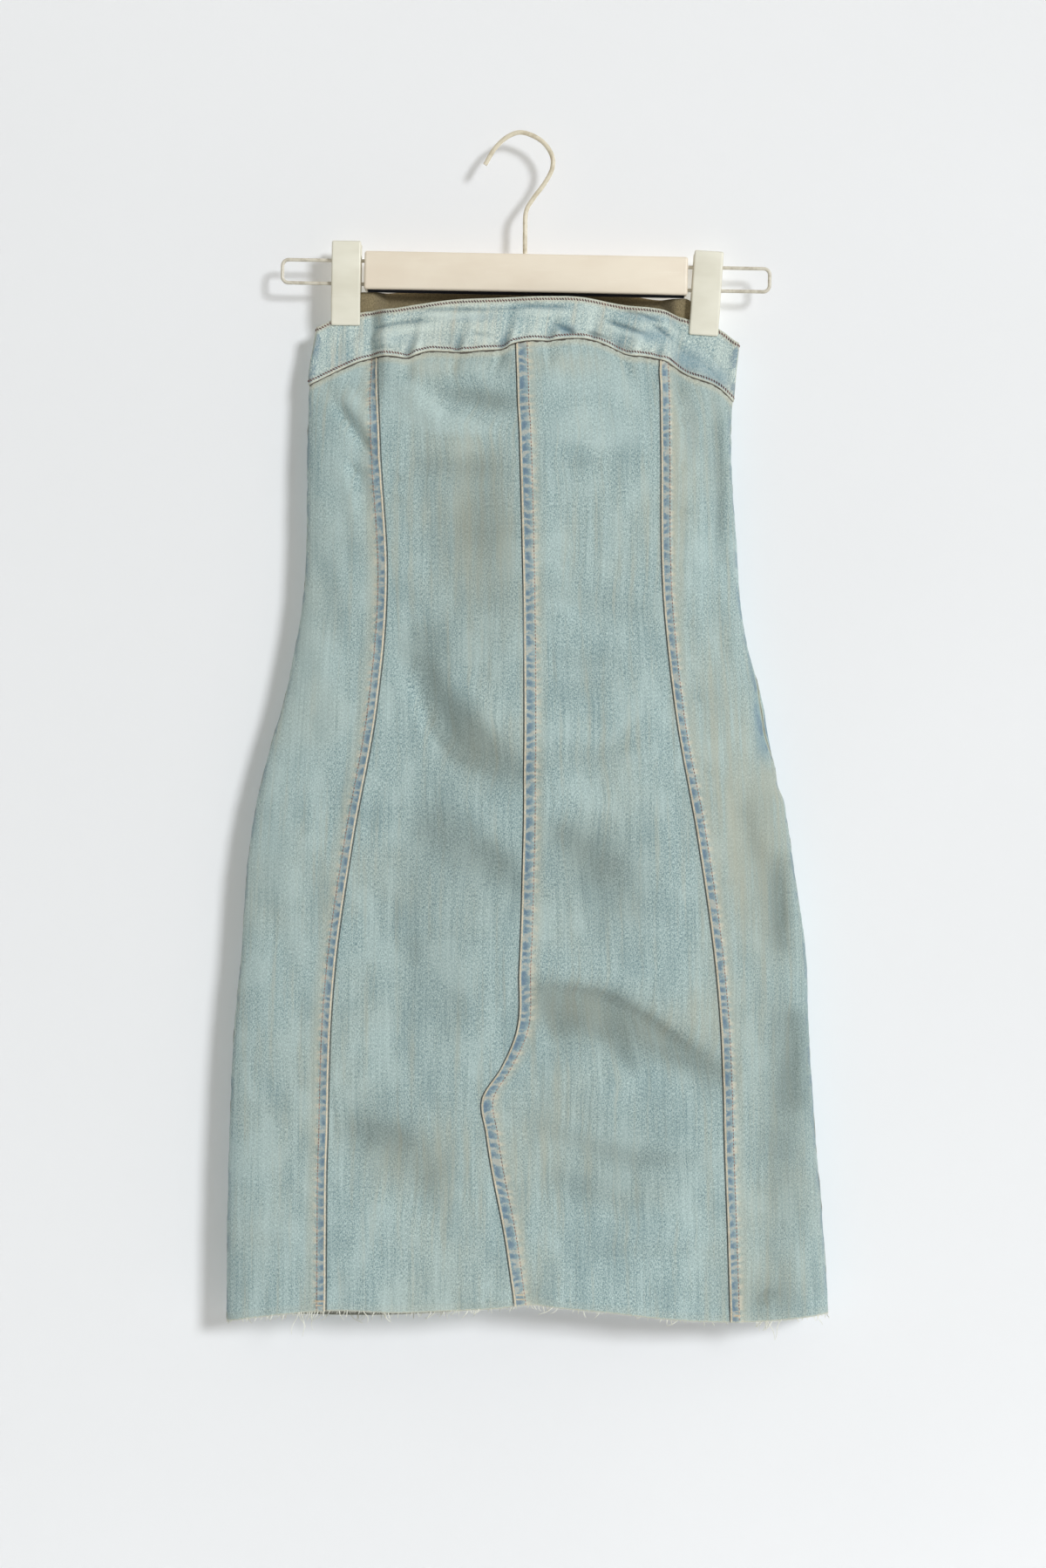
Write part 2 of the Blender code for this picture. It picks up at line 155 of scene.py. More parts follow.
# Smaller creases and swells, each along a bent line: its points, half width, and height,
# which is negative for a crease
FRONT_CREASES = [
    ([(-88, 178), (-90, 198)], 4, -1.2),
    ([(-50, 176), (-55, 192)], 4, -1.0),
    ([(-14, 172), (-22, 186)], 5, -1.9),
    ([(20, 166), (23, 182)], 3.5, -1.0),
    ([(76, 176), (84, 192)], 4, -1.2),
    ([(104, 182), (99, 198)], 4, -1.1),
    ([(126, 190), (121, 208)], 4, -1.3),
    ([(-122, 180), (-118, 196)], 4, -1.2),
    ([(-69, 201), (-40, 207), (-7, 219)], 11, -1.5),
    ([(-98, 187), (-82, 212), (-65, 228), (-8, 237)], 9, 2.1),
    ([(-101, 178), (-54, 184), (-8, 189)], 10, 1.1),
    ([(-148, 208), (-130, 231), (-116, 254)], 4.5, -2.8),
    ([(-136, 262), (-118, 266)], 3, -1.1),
    ([(-134, 277), (-117, 279)], 3, -1.1),
    ([(-132, 293), (-117, 292)], 3, -0.8),
    ([(-106, 268), (-90, 272)], 3, -0.9),
    ([(-106, 285), (-92, 288)], 3, -0.8),
    ([(117, 226), (129, 223)], 2.8, -1.0),
    ([(117, 262), (128, 260)], 2.8, -0.8),
    ([(117, 297), (130, 296)], 2.8, -1.0),
    ([(118, 338), (129, 336)], 2.8, -0.8),
    ([(121, 384), (134, 382)], 2.8, -1.0),
    ([(127, 440), (140, 438)], 2.8, -0.9),
    ([(136, 498), (148, 497)], 2.8, -0.9),
    ([(148, 583), (161, 582)], 2.8, -0.9),
    ([(-139, 200), (-128, 216), (-118, 232)], 6, 1.8),
    ([(-153, 192), (-135, 187), (-114, 185)], 6, 1.2),
    ([(-135, 257), (-128, 268), (-120, 275)], 5, -1.4),
    ([(-145, 251), (-135, 278), (-127, 306)], 8, 1.2),
    ([(-98, 254), (-54, 262), (-7, 260)], 11, -1.2),
    ([(-57, 292), (-34, 306), (-12, 324)], 24, -0.7),
    ([(-101, 342), (-73, 347)], 10, 0.7),
    ([(-98, 403), (-75, 417), (-65, 452), (-47, 480), (-7, 497)], 8, -1.5),
    ([(-101, 421), (-78, 461), (-60, 493)], 9, 1.3),
    ([(-61, 414), (-35, 440), (-12, 468)], 10, 1.2),
    ([(9, 213), (54, 211), (102, 215)], 9, -0.7),
    ([(9, 234), (61, 236), (97, 240)], 9, 0.8),
    ([(8, 259), (40, 258), (67, 256)], 8, -1.0),
    ([(9, 313), (27, 320), (43, 332)], 9, 0.7),
    ([(12, 366), (27, 372), (42, 380)], 8, 1.3),
    ([(20, 407), (51, 414), (82, 405)], 11, -0.8),
    ([(20, 433), (61, 430), (83, 423)], 8, -0.6),
    ([(19, 481), (57, 485), (96, 471)], 11, -0.9),
    ([(5, 518), (61, 519), (109, 514)], 12, 0.9),
    ([(-37, 546), (-26, 561), (-8, 576)], 11, -1.2),
    ([(-87, 619), (-87, 650)], 8, -0.7),
    ([(-57, 652), (-54, 682), (-59, 711)], 10, -0.7),
    ([(15, 539), (34, 546), (55, 565)], 12, -1.2),
    ([(57, 555), (75, 582), (86, 624)], 16, -0.9),
    ([(13, 647), (67, 650), (135, 660)], 13, 0.7),
    ([(12, 662), (61, 672), (95, 689), (116, 706), (145, 726)], 7, -2.2),
    ([(15, 670), (23, 687), (32, 705)], 9, -1.4),
    ([(71, 701), (79, 717), (89, 734)], 8, -1.3),
    ([(27, 730), (61, 738), (108, 730)], 12, 1.1),
    ([(-15, 755), (27, 776), (82, 794), (149, 796)], 9, -1.0),
    ([(8, 806), (40, 816), (75, 822)], 11, -0.8),
    ([(40, 841), (94, 845), (149, 847)], 10, 0.8),
    ([(40, 865), (94, 866), (149, 864)], 8, -0.7),
    ([(-133, 771), (-108, 776), (-79, 784)], 10, -1.2),
    ([(-78, 800), (-71, 823), (-67, 845)], 9, -0.8),
    ([(-127, 814), (-108, 833), (-79, 860)], 13, 0.9),
    ([(-9, 889), (3, 897), (20, 911)], 9, -1.1),
    ([(-143, 878), (-141, 911)], 9, -0.9),
    ([(152, 205), (155, 265), (152, 332)], 6, -1.4),
    ([(145, 345), (152, 386), (160, 421)], 7, -1.2),
    ([(167, 510), (176, 541), (186, 574)], 8, -1.0),
    ([(197, 567), (199, 601), (198, 628)], 5, -1.4),
    ([(207, 687), (209, 716), (206, 746)], 5, -1.4),
    ([(183, 896), (191, 907)], 8, -1.3),
    ([(97, 413), (100, 460), (102, 507)], 7, 0.7),
    ([(-202, 581), (-190, 615), (-184, 648)], 10, -0.8),
    ([(-182, 372), (-153, 413), (-145, 466)], 12, 0.8),
    ([(-162, 318), (-149, 359), (-151, 399)], 9, -0.8),
    ([(-214, 736), (-187, 740), (-159, 734)], 9, -0.7),
    ([(-218, 843), (-188, 851), (-159, 845)], 9, 0.7),
]
BACK_CREASES = [
    ([(-118, 230), (-92, 218), (-64, 212)], 8, -1.4),
    ([(-112, 248), (-80, 238), (-40, 236)], 9, 1.2),
    ([(66, 210), (92, 226), (122, 252)], 7, -1.6),
    ([(20, 240), (54, 252), (88, 256)], 9, 1.0),
    ([(-60, 300), (-30, 312), (-8, 310)], 16, -1.0),
    ([(14, 344), (48, 350), (84, 342)], 10, 0.8),
    ([(-88, 416), (-62, 444), (-44, 476), (-12, 498)], 9, -1.6),
    ([(-92, 440), (-70, 474), (-48, 504)], 9, 1.2),
    ([(28, 456), (52, 436), (86, 408)], 8, -1.4),
    ([(20, 514), (60, 516), (104, 506)], 12, 0.9),
    ([(16, 562), (54, 582), (98, 606)], 8, -1.7),
    ([(-84, 604), (-52, 616), (-20, 606)], 12, -0.9),
    ([(-138, 692), (-100, 712), (-56, 730)], 7, -1.9),
    ([(-120, 664), (-80, 676), (-36, 672)], 11, 1.1),
    ([(18, 700), (60, 708), (110, 702)], 11, 0.9),
    ([(64, 794), (104, 776), (150, 768)], 8, -1.5),
    ([(-126, 832), (-84, 842), (-30, 836)], 10, 0.9),
    ([(-60, 770), (-30, 786), (-8, 792)], 9, -0.9),
    ([(-196, 556), (-199, 600), (-200, 642)], 6, -1.4),
    ([(196, 480), (204, 560), (208, 640)], 8, -0.9),
    ([(150, 300), (146, 360), (150, 420)], 8, -0.8),
]
# What the heights above are multiplied by, the share of it that a crease keeps at its ends, and
# the share of its length over which it fades
CREASE_DEPTH = 1.6
CREASE_ENDS = 0.25
CREASE_FADE = 0.3


def smooth_line(stations, values, at):
    """A smooth line through a table's values, read at any places along its stations."""
    slopes = np.gradient(values, stations)
    at = np.clip(at, stations[0], stations[-1])
    span = np.clip(np.searchsorted(stations, at) - 1, 0, len(stations) - 2)
    width = stations[span + 1] - stations[span]
    t = (at - stations[span]) / width
    start = values[span] * (1 + 2 * t) * (1 - t) ** 2 + slopes[span] * width * t * (1 - t) ** 2
    end = values[span + 1] * (3 - 2 * t) * t**2 - slopes[span + 1] * width * (1 - t) * t**2
    return start + end


def ease(t):
    """From 0 to 1 with soft ends."""
    t = np.clip(t, 0.0, 1.0)
    return t * t * (3 - 2 * t)


def outline_at(drop):
    return [smooth_line(OUTLINE[:, 0], OUTLINE[:, column], drop) for column in range(1, 5)]


# The two clips press the cloth together between their jaws: across and drop of the middle of
# a clip's lower edge, and its lean to the right
CLIPS = {
    "left": (-138.2, 149.4, math.radians(0.9)),
    "right": (140.4, 157.2, math.radians(3.9)),
}
CLIP_WIDTH = 22.8
GRIP_MARGIN = 8.0
GRIP_BELOW = 6.0
GRIP_SPREAD = 14.0
GRIP_TAIL = 70.0


def grip(across, drop):
    """How firmly a clip presses the cloth together: 1 between its jaws, 0 far from it."""
    held = np.zeros_like(across)
    for clip_across, clip_drop, _ in CLIPS.values():
        beside = np.abs(across - clip_across) - CLIP_WIDTH / 2 - GRIP_MARGIN
        below = drop - clip_drop - GRIP_BELOW
        held = np.maximum(held, (1 - ease(beside / GRIP_SPREAD)) * (1 - ease(below / GRIP_TAIL)))
    return held


def fold_depth(folds, across, drop):
    """How far the main folds of one side push its cloth inwards."""
    pushed = np.zeros_like(across)
    for start_x, start_drop, end_x, end_drop, half_width, depth in folds:
        along_x = end_x - start_x
        along_drop = end_drop - start_drop
        length_squared = along_x**2 + along_drop**2
        t = ((across - start_x) * along_x + (drop - start_drop) * along_drop) / length_squared
        t = np.clip(t, 0.0, 1.0)
        away = np.hypot(across - start_x - t * along_x, drop - start_drop - t * along_drop)
        pushed += depth * np.exp(-((away / half_width) ** 2))
    return pushed


def crease_height(creases, across, drop):
    """How far creases and swells lift the cloth, each fading at its ends."""
    lifted = np.zeros_like(across)
    for points, half_width, height in creases:
        steps = [math.dist(a, b) for a, b in zip(points, points[1:])]
        nearest = np.full_like(across, 1e9)
        share = np.zeros_like(across)
        gone = 0.0
        for (x0, d0), (x1, d1), step in zip(points, points[1:], steps):
            t = ((across - x0) * (x1 - x0) + (drop - d0) * (d1 - d0)) / step**2
            t = np.clip(t, 0.0, 1.0)
            away = np.hypot(across - x0 - t * (x1 - x0), drop - d0 - t * (d1 - d0))
            nearer = away < nearest
            nearest = np.where(nearer, away, nearest)
            share = np.where(nearer, (gone + t * step) / sum(steps), share)
            gone += step
        fade = ease(share / CREASE_FADE) * ease((1 - share) / CREASE_FADE)
        fade = CREASE_ENDS + (1 - CREASE_ENDS) * fade
        lifted += height * fade * np.exp(-((nearest / half_width) ** 2))
    return CREASE_DEPTH * lifted


# Folds fade out where the cloth bulges less than this share of its depth, near the side seams,
# and the cloth between a clip's jaws closes to its edge over the second share
FOLD_FREE = 0.5
PINCH_EDGE = 0.1


def dress_surface(turn, drop):
    """The middle of the cloth. The turn runs from the left side seam (0) over the front to the
    right side seam (pi), and over the back for negative turns."""
    left, right, front_depth, back_depth = outline_at(drop)
    across = (left + right) / 2 - (right - left) / 2 * np.cos(turn)
    bulge = np.abs(np.sin(turn))
    on_front = np.sin(turn) >= 0
    depth = np.zeros_like(across)
    for side, here, full in (("front", on_front, front_depth), ("back", ~on_front, back_depth)):
        if here.any():
            creases, folds = PATTERNS[side][:2]
            pushed = fold_depth(folds, across, drop) - crease_height(creases, across, drop)
            pushed = full * bulge ** ROUNDNESS[side] - pushed * ease(bulge / FOLD_FREE)
            depth = np.where(here, pushed, depth)
    held = grip(across, drop)
    pressed = PINCHED * np.minimum(1.0, bulge / PINCH_EDGE) ** 0.5
    depth = depth * (1 - held) + pressed * held
    return np.stack([across, np.where(on_front, -depth, depth), -drop], axis=-1)


def unit(vectors):
    return vectors / np.linalg.norm(vectors, axis=-1, keepdims=True)


TURN_STEP = 0.006
DROP_STEP = 0.6


def directions(turn, drop):
    """Unit vectors along the turn and out of the dress."""
    along = dress_surface(turn + TURN_STEP, drop) - dress_surface(turn - TURN_STEP, drop)
    down = dress_surface(turn, drop + DROP_STEP) - dress_surface(turn, drop - DROP_STEP)
    return unit(along), unit(np.cross(down, along))


# Over the right hip the side seam sways forwards, so that a sliver of the back panel shows
SWAY = 0.17
SWAY_DROP = 456.0
SWAY_REACH = 30.0


def seam_turns(side, drop):
    """Turns of a side's five lines at each drop: side seam, three seams, side seam."""
    left, right, _, _ = outline_at(drop)
    table = FRONT_SEAMS if side == "front" else BACK_SEAMS
    turns = [np.zeros_like(drop)]
    for column in range(1, 4):
        across = smooth_line(table[:, 0], table[:, column], drop)
        turns.append(np.arccos(((left + right) / 2 - across) / ((right - left) / 2)))
    sway = SWAY * np.exp(-(((drop - SWAY_DROP) / SWAY_REACH) ** 4))
    turns.append(math.pi + np.where(side == "front", -sway, sway))
    return [t if side == "front" else -t for t in turns]


SETTLING_ROUNDS = 7


def cloth_grid(side, lines, upper_edge, lower_edge, shares, rows):
    """Turns and drops of a grid between two of a side's lines and between two edge lines. The
    edges' drops depend on the places across, so the grid settles in a few rounds."""
    rows = rows[:, None]
    drops = upper_edge[:, 1].mean() * (1 - rows) + lower_edge[:, 1].mean() * rows
    drops = drops + np.zeros(len(shares))
    for _ in range(SETTLING_ROUNDS):
        ends = seam_turns(side, drops)
        turns = ends[lines[0]] * (1 - shares) + ends[lines[1]] * shares
        left, right, _, _ = outline_at(drops)
        across = (left + right) / 2 - (right - left) / 2 * np.cos(turns)
        upper = smooth_line(upper_edge[:, 0], upper_edge[:, 1], across)
        lower = smooth_line(lower_edge[:, 0], lower_edge[:, 1], across)
        drops = upper * (1 - rows) + lower * rows
    return turns, drops


SEAM_STRIP = 13.0
EDGE_STRIP = 3.0


def spaced(length, fine_start, fine_end, fine, coarse):
    """Shares along a length, with close steps beside an end that has a raised seam."""
    places = [0.0]
    while places[-1] < length - 0.5 * coarse:
        near_start = fine_start and places[-1] < SEAM_STRIP
        near_end = fine_end and length - places[-1] < SEAM_STRIP + coarse
        edge = min(places[-1], length - places[-1]) < EDGE_STRIP
        places.append(places[-1] + (fine if near_start or near_end or edge else coarse))
    return np.array(places) / places[-1]


NOISE_LENGTH = 4000


def soft_noise(places, seed, step):
    """Smooth random numbers from -1 to 1 along a line, one turn each step."""
    values = np.random.default_rng(seed).uniform(-1, 1, NOISE_LENGTH)
    at = np.abs(places) / step
    first = at.astype(int)
    t = ease(at - first)
    return values[first % NOISE_LENGTH] * (1 - t) + values[(first + 1) % NOISE_LENGTH] * t


# A felled seam laps one panel's folded edge over the next: it is thick for the width of its
# turned-in cloth, and puckers into a rope of high and low spots between its two stitch rows
FELL_RISE = 0.75
FOLD_RISE = 0.55
ROPE_RISE = 0.42
ROPE_SLANT = 0.35
FELL_EDGE = 1.8
SIDE_PULL = 0.34
SIDE_REACH = 9.0


def fell_height(from_edge, down, width, seed):
    """How far a felled seam stands above the cloth, at a distance from its folded edge."""
    plateau = 1 - ease((from_edge - width) / FELL_EDGE)
    fold = np.exp(-(((from_edge - 1.0) / 0.9) ** 2))
    inside = ease(from_edge / 2.2) * (1 - ease((from_edge - width + 1.5) / 2.0))
    slanted = down + ROPE_SLANT * from_edge
    rope = soft_noise(slanted, seed, 3.6) + 0.6 * soft_noise(slanted, seed + 1, 1.9)
    return FELL_RISE * plateau + FOLD_RISE * fold + ROPE_RISE * rope * inside


def side_seam_height(from_edge, down, seed):
    """The plain side seam draws the cloth in at uneven places, and lets it swell between them."""
    pull = soft_noise(down + 0.5 * from_edge, seed, 11.0) + 0.7 * soft_noise(down, seed + 1, 5.0)
    return SIDE_PULL * pull * np.exp(-from_edge / SIDE_REACH)


# Patches of painted light and shade mixed with the uneven stone wash: place across, drop, half width,
# half height, and how much paler (or, where negative, darker) the cloth is painted there
FRONT_PAINTED_SHADING_AND_WASH = [
    (-50, 345, 52, 110, -1.7), (-70, 610, 48, 130, -2.6), (-48, 215, 34, 26, 1.6),
    (-175, 380, 26, 80, 1.4), (-190, 640, 26, 120, 0.9), (-95, 850, 40, 50, 0.8),
    (58, 230, 44, 60, 1.8), (60, 430, 46, 60, -1.0), (75, 560, 50, 60, -2.0),
    (40, 690, 30, 30, -1.4), (120, 712, 24, 20, -1.0), (70, 655, 60, 26, -0.8),
    (182, 905, 34, 22, -2.4), (-82, 216, 22, 18, 3.0), (50, 200, 50, 40, 1.4),
    (-200, 560, 34, 90, 1.4), (-200, 840, 30, 90, 1.2), (-140, 330, 30, 90, 1.4),
    (-135, 235, 24, 30, 1.2), (-20, 330, 18, 110, -1.6),
    (80, 800, 60, 50, -1.4), (190, 560, 22, 90, -0.8), (205, 790, 24, 120, -2.6),
    (132, 330, 16, 90, 1.2), (158, 460, 12, 60, 0.9), (-35, 480, 30, 30, -1.2),
    (-120, 780, 30, 50, -1.0), (100, 890, 50, 24, 0.8),
    (125, 500, 14, 120, 1.2), (-158, 700, 10, 200, 0.7), (175, 800, 10, 110, 0.9),
    (-75, 800, 60, 110, -1.0), (75, 740, 70, 190, -1.4), (190, 600, 34, 160, -1.2),
    (190, 800, 40, 130, -1.0), (-170, 470, 30, 50, 1.2), (-45, 300, 44, 60, -1.0),
]
# Places where more of the tan weft shows, in the same columns, with how strongly
FRONT_TAN = [
    (118, 300, 12, 150, 0.8), (150, 450, 20, 90, 0.9), (172, 560, 16, 60, 0.7),
    (135, 240, 20, 50, 0.6), (-113, 340, 8, 70, 0.6), (22, 765, 20, 60, 0.6),
    (12, 880, 14, 40, 0.5), (30, 182, 44, 12, 0.9), (-70, 184, 34, 9, 0.8),
    (190, 890, 40, 30, 0.6), (-30, 310, 28, 100, 0.6), (100, 690, 50, 24, 0.8),
    (40, 676, 30, 20, 0.7), (-100, 800, 40, 30, 0.6), (-40, 480, 30, 26, 0.5),
    (-140, 205, 20, 12, 0.6), (140, 640, 10, 150, 0.5), (194, 506, 7, 9, 1.8),
    (-45, 300, 50, 60, 0.4), (185, 540, 30, 100, 1.0), (-60, 245, 40, 20, 0.5),
    (60, 300, 40, 70, 0.4), (190, 780, 36, 110, 0.5), (-50, 780, 40, 50, 0.5),
]
BACK_TAN = [
    (-30, 320, 30, 100, 0.6), (100, 300, 12, 140, 0.7), (60, 182, 50, 12, 0.8),
    (-60, 184, 40, 10, 0.8), (20, 700, 50, 24, 0.7), (-150, 450, 20, 90, 0.7),
]
# Places that kept more of their blue, in the same columns
FRONT_BLUE = [
    (184, 452, 6, 26, 0.8), (187, 478, 6, 12, 0.6), (-117, 262, 5, 34, 0.6), (-226, 800, 6, 90, 0.3),
    (130, 236, 6, 30, 0.4),
]
BACK_BLUE = [(194, 458, 7, 34, 1.3), (-60, 420, 20, 30, 0.3), (90, 700, 30, 30, 0.3)]
BAND_BLUE = [
    (-140, 178, 16, 9, 0.4), (-100, 162, 34, 5, 0.4), (-40, 146, 26, 4, 0.6), (34, 156, 9, 5, 1.0),
    (96, 160, 18, 6, 0.9), (128, 178, 16, 12, 1.0), (150, 192, 12, 10, 0.9), (-14, 166, 6, 5, 0.8),
    (20, 138, 30, 3, 0.5), (98, 146, 20, 4, 0.7),
]
BACK_WASH = [
    (-50, 330, 44, 80, -2.0), (60, 300, 44, 70, 1.2), (0, 520, 60, 60, 1.4),
    (-90, 600, 40, 90, -1.8), (80, 560, 44, 70, -1.6), (0, 760, 70, 60, -1.2),
    (-150, 780, 40, 90, 1.0), (150, 740, 40, 90, 0.9), (190, 480, 22, 80, -1.2),
    (-190, 500, 22, 80, -1.2), (60, 860, 60, 34, 0.9), (-50, 240, 50, 24, 1.2),
]
PATTERNS = {
    "front": (FRONT_CREASES, FRONT_FOLDS, FRONT_PAINTED_SHADING_AND_WASH, FRONT_TAN, FRONT_BLUE),
    "back": (BACK_CREASES, BACK_FOLDS, BACK_WASH, BACK_TAN, BACK_BLUE),
}


def soft_patch_sum(patches, across, drop):
    """The sum of soft patches at each place on the cloth."""
    paler = np.zeros_like(across)
    for x, d, half_width, half_height, amount in patches:
        away = ((across - x) / half_width) ** 2 + ((drop - d) / half_height) ** 2
        paler += amount * np.exp(-away)
    return paler


def make_mesh(name, points, faces):
    """A smooth-shaded piece from its points in millimetres and its faces."""
    mesh = bpy.data.meshes.new(name)
    mesh.from_pydata((np.array(points) * MM).tolist(), [], faces)
    mesh.shade_smooth()
    made = bpy.data.objects.new(name, mesh)
    bpy.context.scene.collection.objects.link(made)
    return made


def gone_along(points, axis):
    """Lengths along a grid's rows or columns, from its first point to each."""
    steps = np.linalg.norm(np.diff(points, axis=axis), axis=-1)
    start = np.zeros_like(points[..., 0]).take([0], axis=axis)
    return np.concatenate([start, np.cumsum(steps, axis=axis)], axis=axis)


def sheet_faces(rows, columns, turned):
    """Faces of a grid's outer layer, its inner layer and the rim that joins them."""
    number = np.arange(rows * columns).reshape(rows, columns)
    corners = [number[:-1, :-1], number[:-1, 1:], number[1:, 1:], number[1:, :-1]]
    faces = np.stack(corners, axis=-1).reshape(-1, 4)
    border = [number[0], number[1:, -1], number[-1, -2::-1], number[-2:0:-1, 0]]
    border = np.concatenate(border)
    after = np.roll(border, -1)
    rim = np.stack([border, border + number.size, after + number.size, after], axis=-1)
    faces = np.concatenate([faces[:, ::-1], faces + number.size, rim[:, ::-1]])
    return faces[:, ::-1] if turned else faces


# Distances that stand for a place with no such seam near it, and how much of a seam's height
# a clip presses flat
NO_SEAM = 60.0
NO_FELL = 10.0
PRESSED_FLAT = 0.7
# How strongly the band's puckers and creases are painted: painted shade in their troughs, a painted
# highlight on their ridges
BAND_PAINTED_SHADING = 2.1


def cloth_mesh(name, side, turns, drops, thickness, seams, seed, band=False):
    """Makes a sheet of cloth with an outer and an inner layer, and keeps its lines for the
    stitches: points of the outer layer, out directions, and distances from its edges."""
    middle = dress_surface(turns, drops)
    along, out = directions(turns, drops)
    if side == "back":
        along = -along
    from_left = gone_along(middle, 1)
    from_right = from_left[:, -1:] - from_left
    down = gone_along(middle, 0)
    up = down[-1:] - down
    across = middle[..., 0].copy()
    height = np.zeros_like(down)
    felled = np.full_like(down, NO_SEAM)
    fell_share = np.full_like(down, NO_FELL)
    side_seam = np.full_like(down, NO_SEAM)
    for kind, from_edge in ((seams[0], from_left), (seams[1], from_right)):
        if kind == "side":
            height += side_seam_height(from_edge, drops, seed)
            side_seam = np.minimum(side_seam, from_edge)
        elif kind != "plain":
            height += fell_height(from_edge, drops, kind, seed)
            felled = np.minimum(felled, from_edge)
            fell_share = np.minimum(fell_share, from_edge / kind)
    height *= 1 - PRESSED_FLAT * grip(across, drops)
    creases, folds, shading_and_wash, tans, blues = PATTERNS[side]
    if band:
        height += band_relief(across, down, up, seed)
        # The band's puckers and creases, painted as shade in their troughs and as highlight on their
        # ridges
        painted_shading_and_wash = BAND_PAINTED_SHADING * band_folds(across, down, up, seed)
        blues = BAND_BLUE
    else:
        # Folds and creases, painted as shade in their troughs and as highlight on their swells, and
        # the patches of painted light and shade mixed with the uneven wash
        painted_shading_and_wash = crease_height(creases, across, drops) - fold_depth(folds, across, drops)
        painted_shading_and_wash += soft_patch_sum(shading_and_wash, across, drops)
    middle[:, 0] += along[:, 0] * SEAM_GAP / 2
    middle[:, -1] -= along[:, -1] * SEAM_GAP / 2
    outer = middle + out * (thickness / 2 + height)[..., None]
    inner = middle + out * (np.minimum(height, 0.0) - thickness / 2)[..., None]
    points = np.concatenate([outer.reshape(-1, 3), inner.reshape(-1, 3)])
    made = make_mesh(name, points, sheet_faces(*down.shape, side == "back").tolist())
    measures = {
        "felled": felled, "edge": np.minimum(from_left, from_right), "up": up, "down": down,
        "painted_shading_and_wash": painted_shading_and_wash, "tanned": soft_patch_sum(tans, across, drops),
        "blued": soft_patch_sum(blues, across, drops), "side_seam": side_seam,
        "fell_share": fell_share,
    }
    measures = {label: np.tile(values.ravel(), 2) for label, values in measures.items()}
    measures["inside"] = np.repeat([0.0, 1.0], down.size)
    for label, values in measures.items():
        store = made.data.attributes.new(label, "FLOAT", "POINT")
        store.data.foreach_set("value", values)
    sideways = from_left - from_left[:, -1:] / 2
    if not band:
        toward_middle = -math.copysign(1.0, middle[..., 0].mean())
        sideways = middle[..., 0] + toward_middle * np.abs(middle[..., 1])
    flat = np.tile(np.stack([sideways, -drops], axis=-1).reshape(-1, 2) * MM, (2, 1))
    vertex = np.zeros(len(made.data.loops), dtype=np.int32)
    made.data.loops.foreach_get("vertex_index", vertex)
    made.data.uv_layers.new(name="cloth").data.foreach_set("uv", flat[vertex].ravel())
    kept = {"points": outer, "out": out, "left": from_left, "right": from_right}
    kept.update({"down": down, "up": up})
    return made, kept


class Nodes:
    """Adds a material's nodes one after another and joins them up."""

    def __init__(self, name, roughness):
        self.material = bpy.data.materials.new(name)
        self.material.use_nodes = True
        self.tree = self.material.node_tree
        self.shader = self.tree.nodes["Principled BSDF"]
        self.shader.inputs["Roughness"].default_value = roughness

    def add(self, kind, settings=None, **inputs):
        node = self.tree.nodes.new("ShaderNode" + kind)
        for label, value in (settings or {}).items():
            setattr(node, label, value)
        for label, value in inputs.items():
            self.join(value, node.inputs[label.replace("_", " ")])
        return node

    def join(self, value, socket):
        if isinstance(value, bpy.types.NodeSocket):
            self.tree.links.new(value, socket)
        else:
            socket.default_value = value

    def place(self, scale, source="Object", turn=0.0):
        """Coordinates in metres, on the object or on the cloth, stretched and then turned."""
        if source == "cloth":
            start = self.add("UVMap", {"uv_map": "cloth"}).outputs[0]
        else:
            start = self.add("TexCoord").outputs["Object"]
        turns = (0.0, 0.0, math.radians(turn))
        return self.add("Mapping", Vector=start, Scale=scale, Rotation=turns).outputs[0]

    def noise(self, scale, detail=3.0, rough=0.5, source="Object", turn=0.0):
        """Noise with this many swells to a metre along each axis."""
        place = self.place(scale, source, turn)
        node = self.add("TexNoise", Vector=place, Scale=1.0, Detail=detail, Roughness=rough)
        return node.outputs["Fac"]

    def measure(self, label):
        return self.add("Attribute", {"attribute_name": label}).outputs["Fac"]

    def ramp(self, value, low, high, to_low=0.0, to_high=1.0):
        """Runs from to_low to to_high, softly, while value goes from low to high."""
        return self.add(
            "MapRange", {"interpolation_type": "SMOOTHSTEP"}, Value=value,
            From_Min=low, From_Max=high, To_Min=to_low, To_Max=to_high,
        ).outputs[0]

    def calculate(self, kind, first, second=0.0):
        node = self.add("Math", {"operation": kind})
        self.join(first, node.inputs[0])
        self.join(second, node.inputs[1])
        return node.outputs[0]

    def plus(self, first, second):
        return self.calculate("ADD", first, second)

    def times(self, first, second):
        return self.calculate("MULTIPLY", first, second)

    def mix(self, share, first, second):
        node = self.add("Mix", {"data_type": "RGBA"})
        self.join(share, node.inputs[0])
        self.join(first, node.inputs[6])
        self.join(second, node.inputs[7])
        return node.outputs[2]

    def surface(self, **inputs):
        for label, value in inputs.items():
            self.join(value, self.shader.inputs[label.replace("_", " ")])

    def bump(self, height, strength, distance):
        node = self.add("Bump", Height=height, Strength=strength, Distance=distance)
        self.surface(Normal=node.outputs[0])


def paint(red, green, blue):
    """A colour as a screen shows it, 0 to 255, as the shader takes it."""
    levels = [v / 255 for v in (red, green, blue)]
    levels = [v / 12.92 if v <= 0.04045 else ((v + 0.055) / 1.055) ** 2.4 for v in levels]
    return (*levels, 1.0)


# Light-wash denim: pale warp threads over a tan weft, streaked down the cloth, with blue left
# where a seam's puckers hide it from wear and cream where an edge is rubbed
TWILL_SLANT = -32


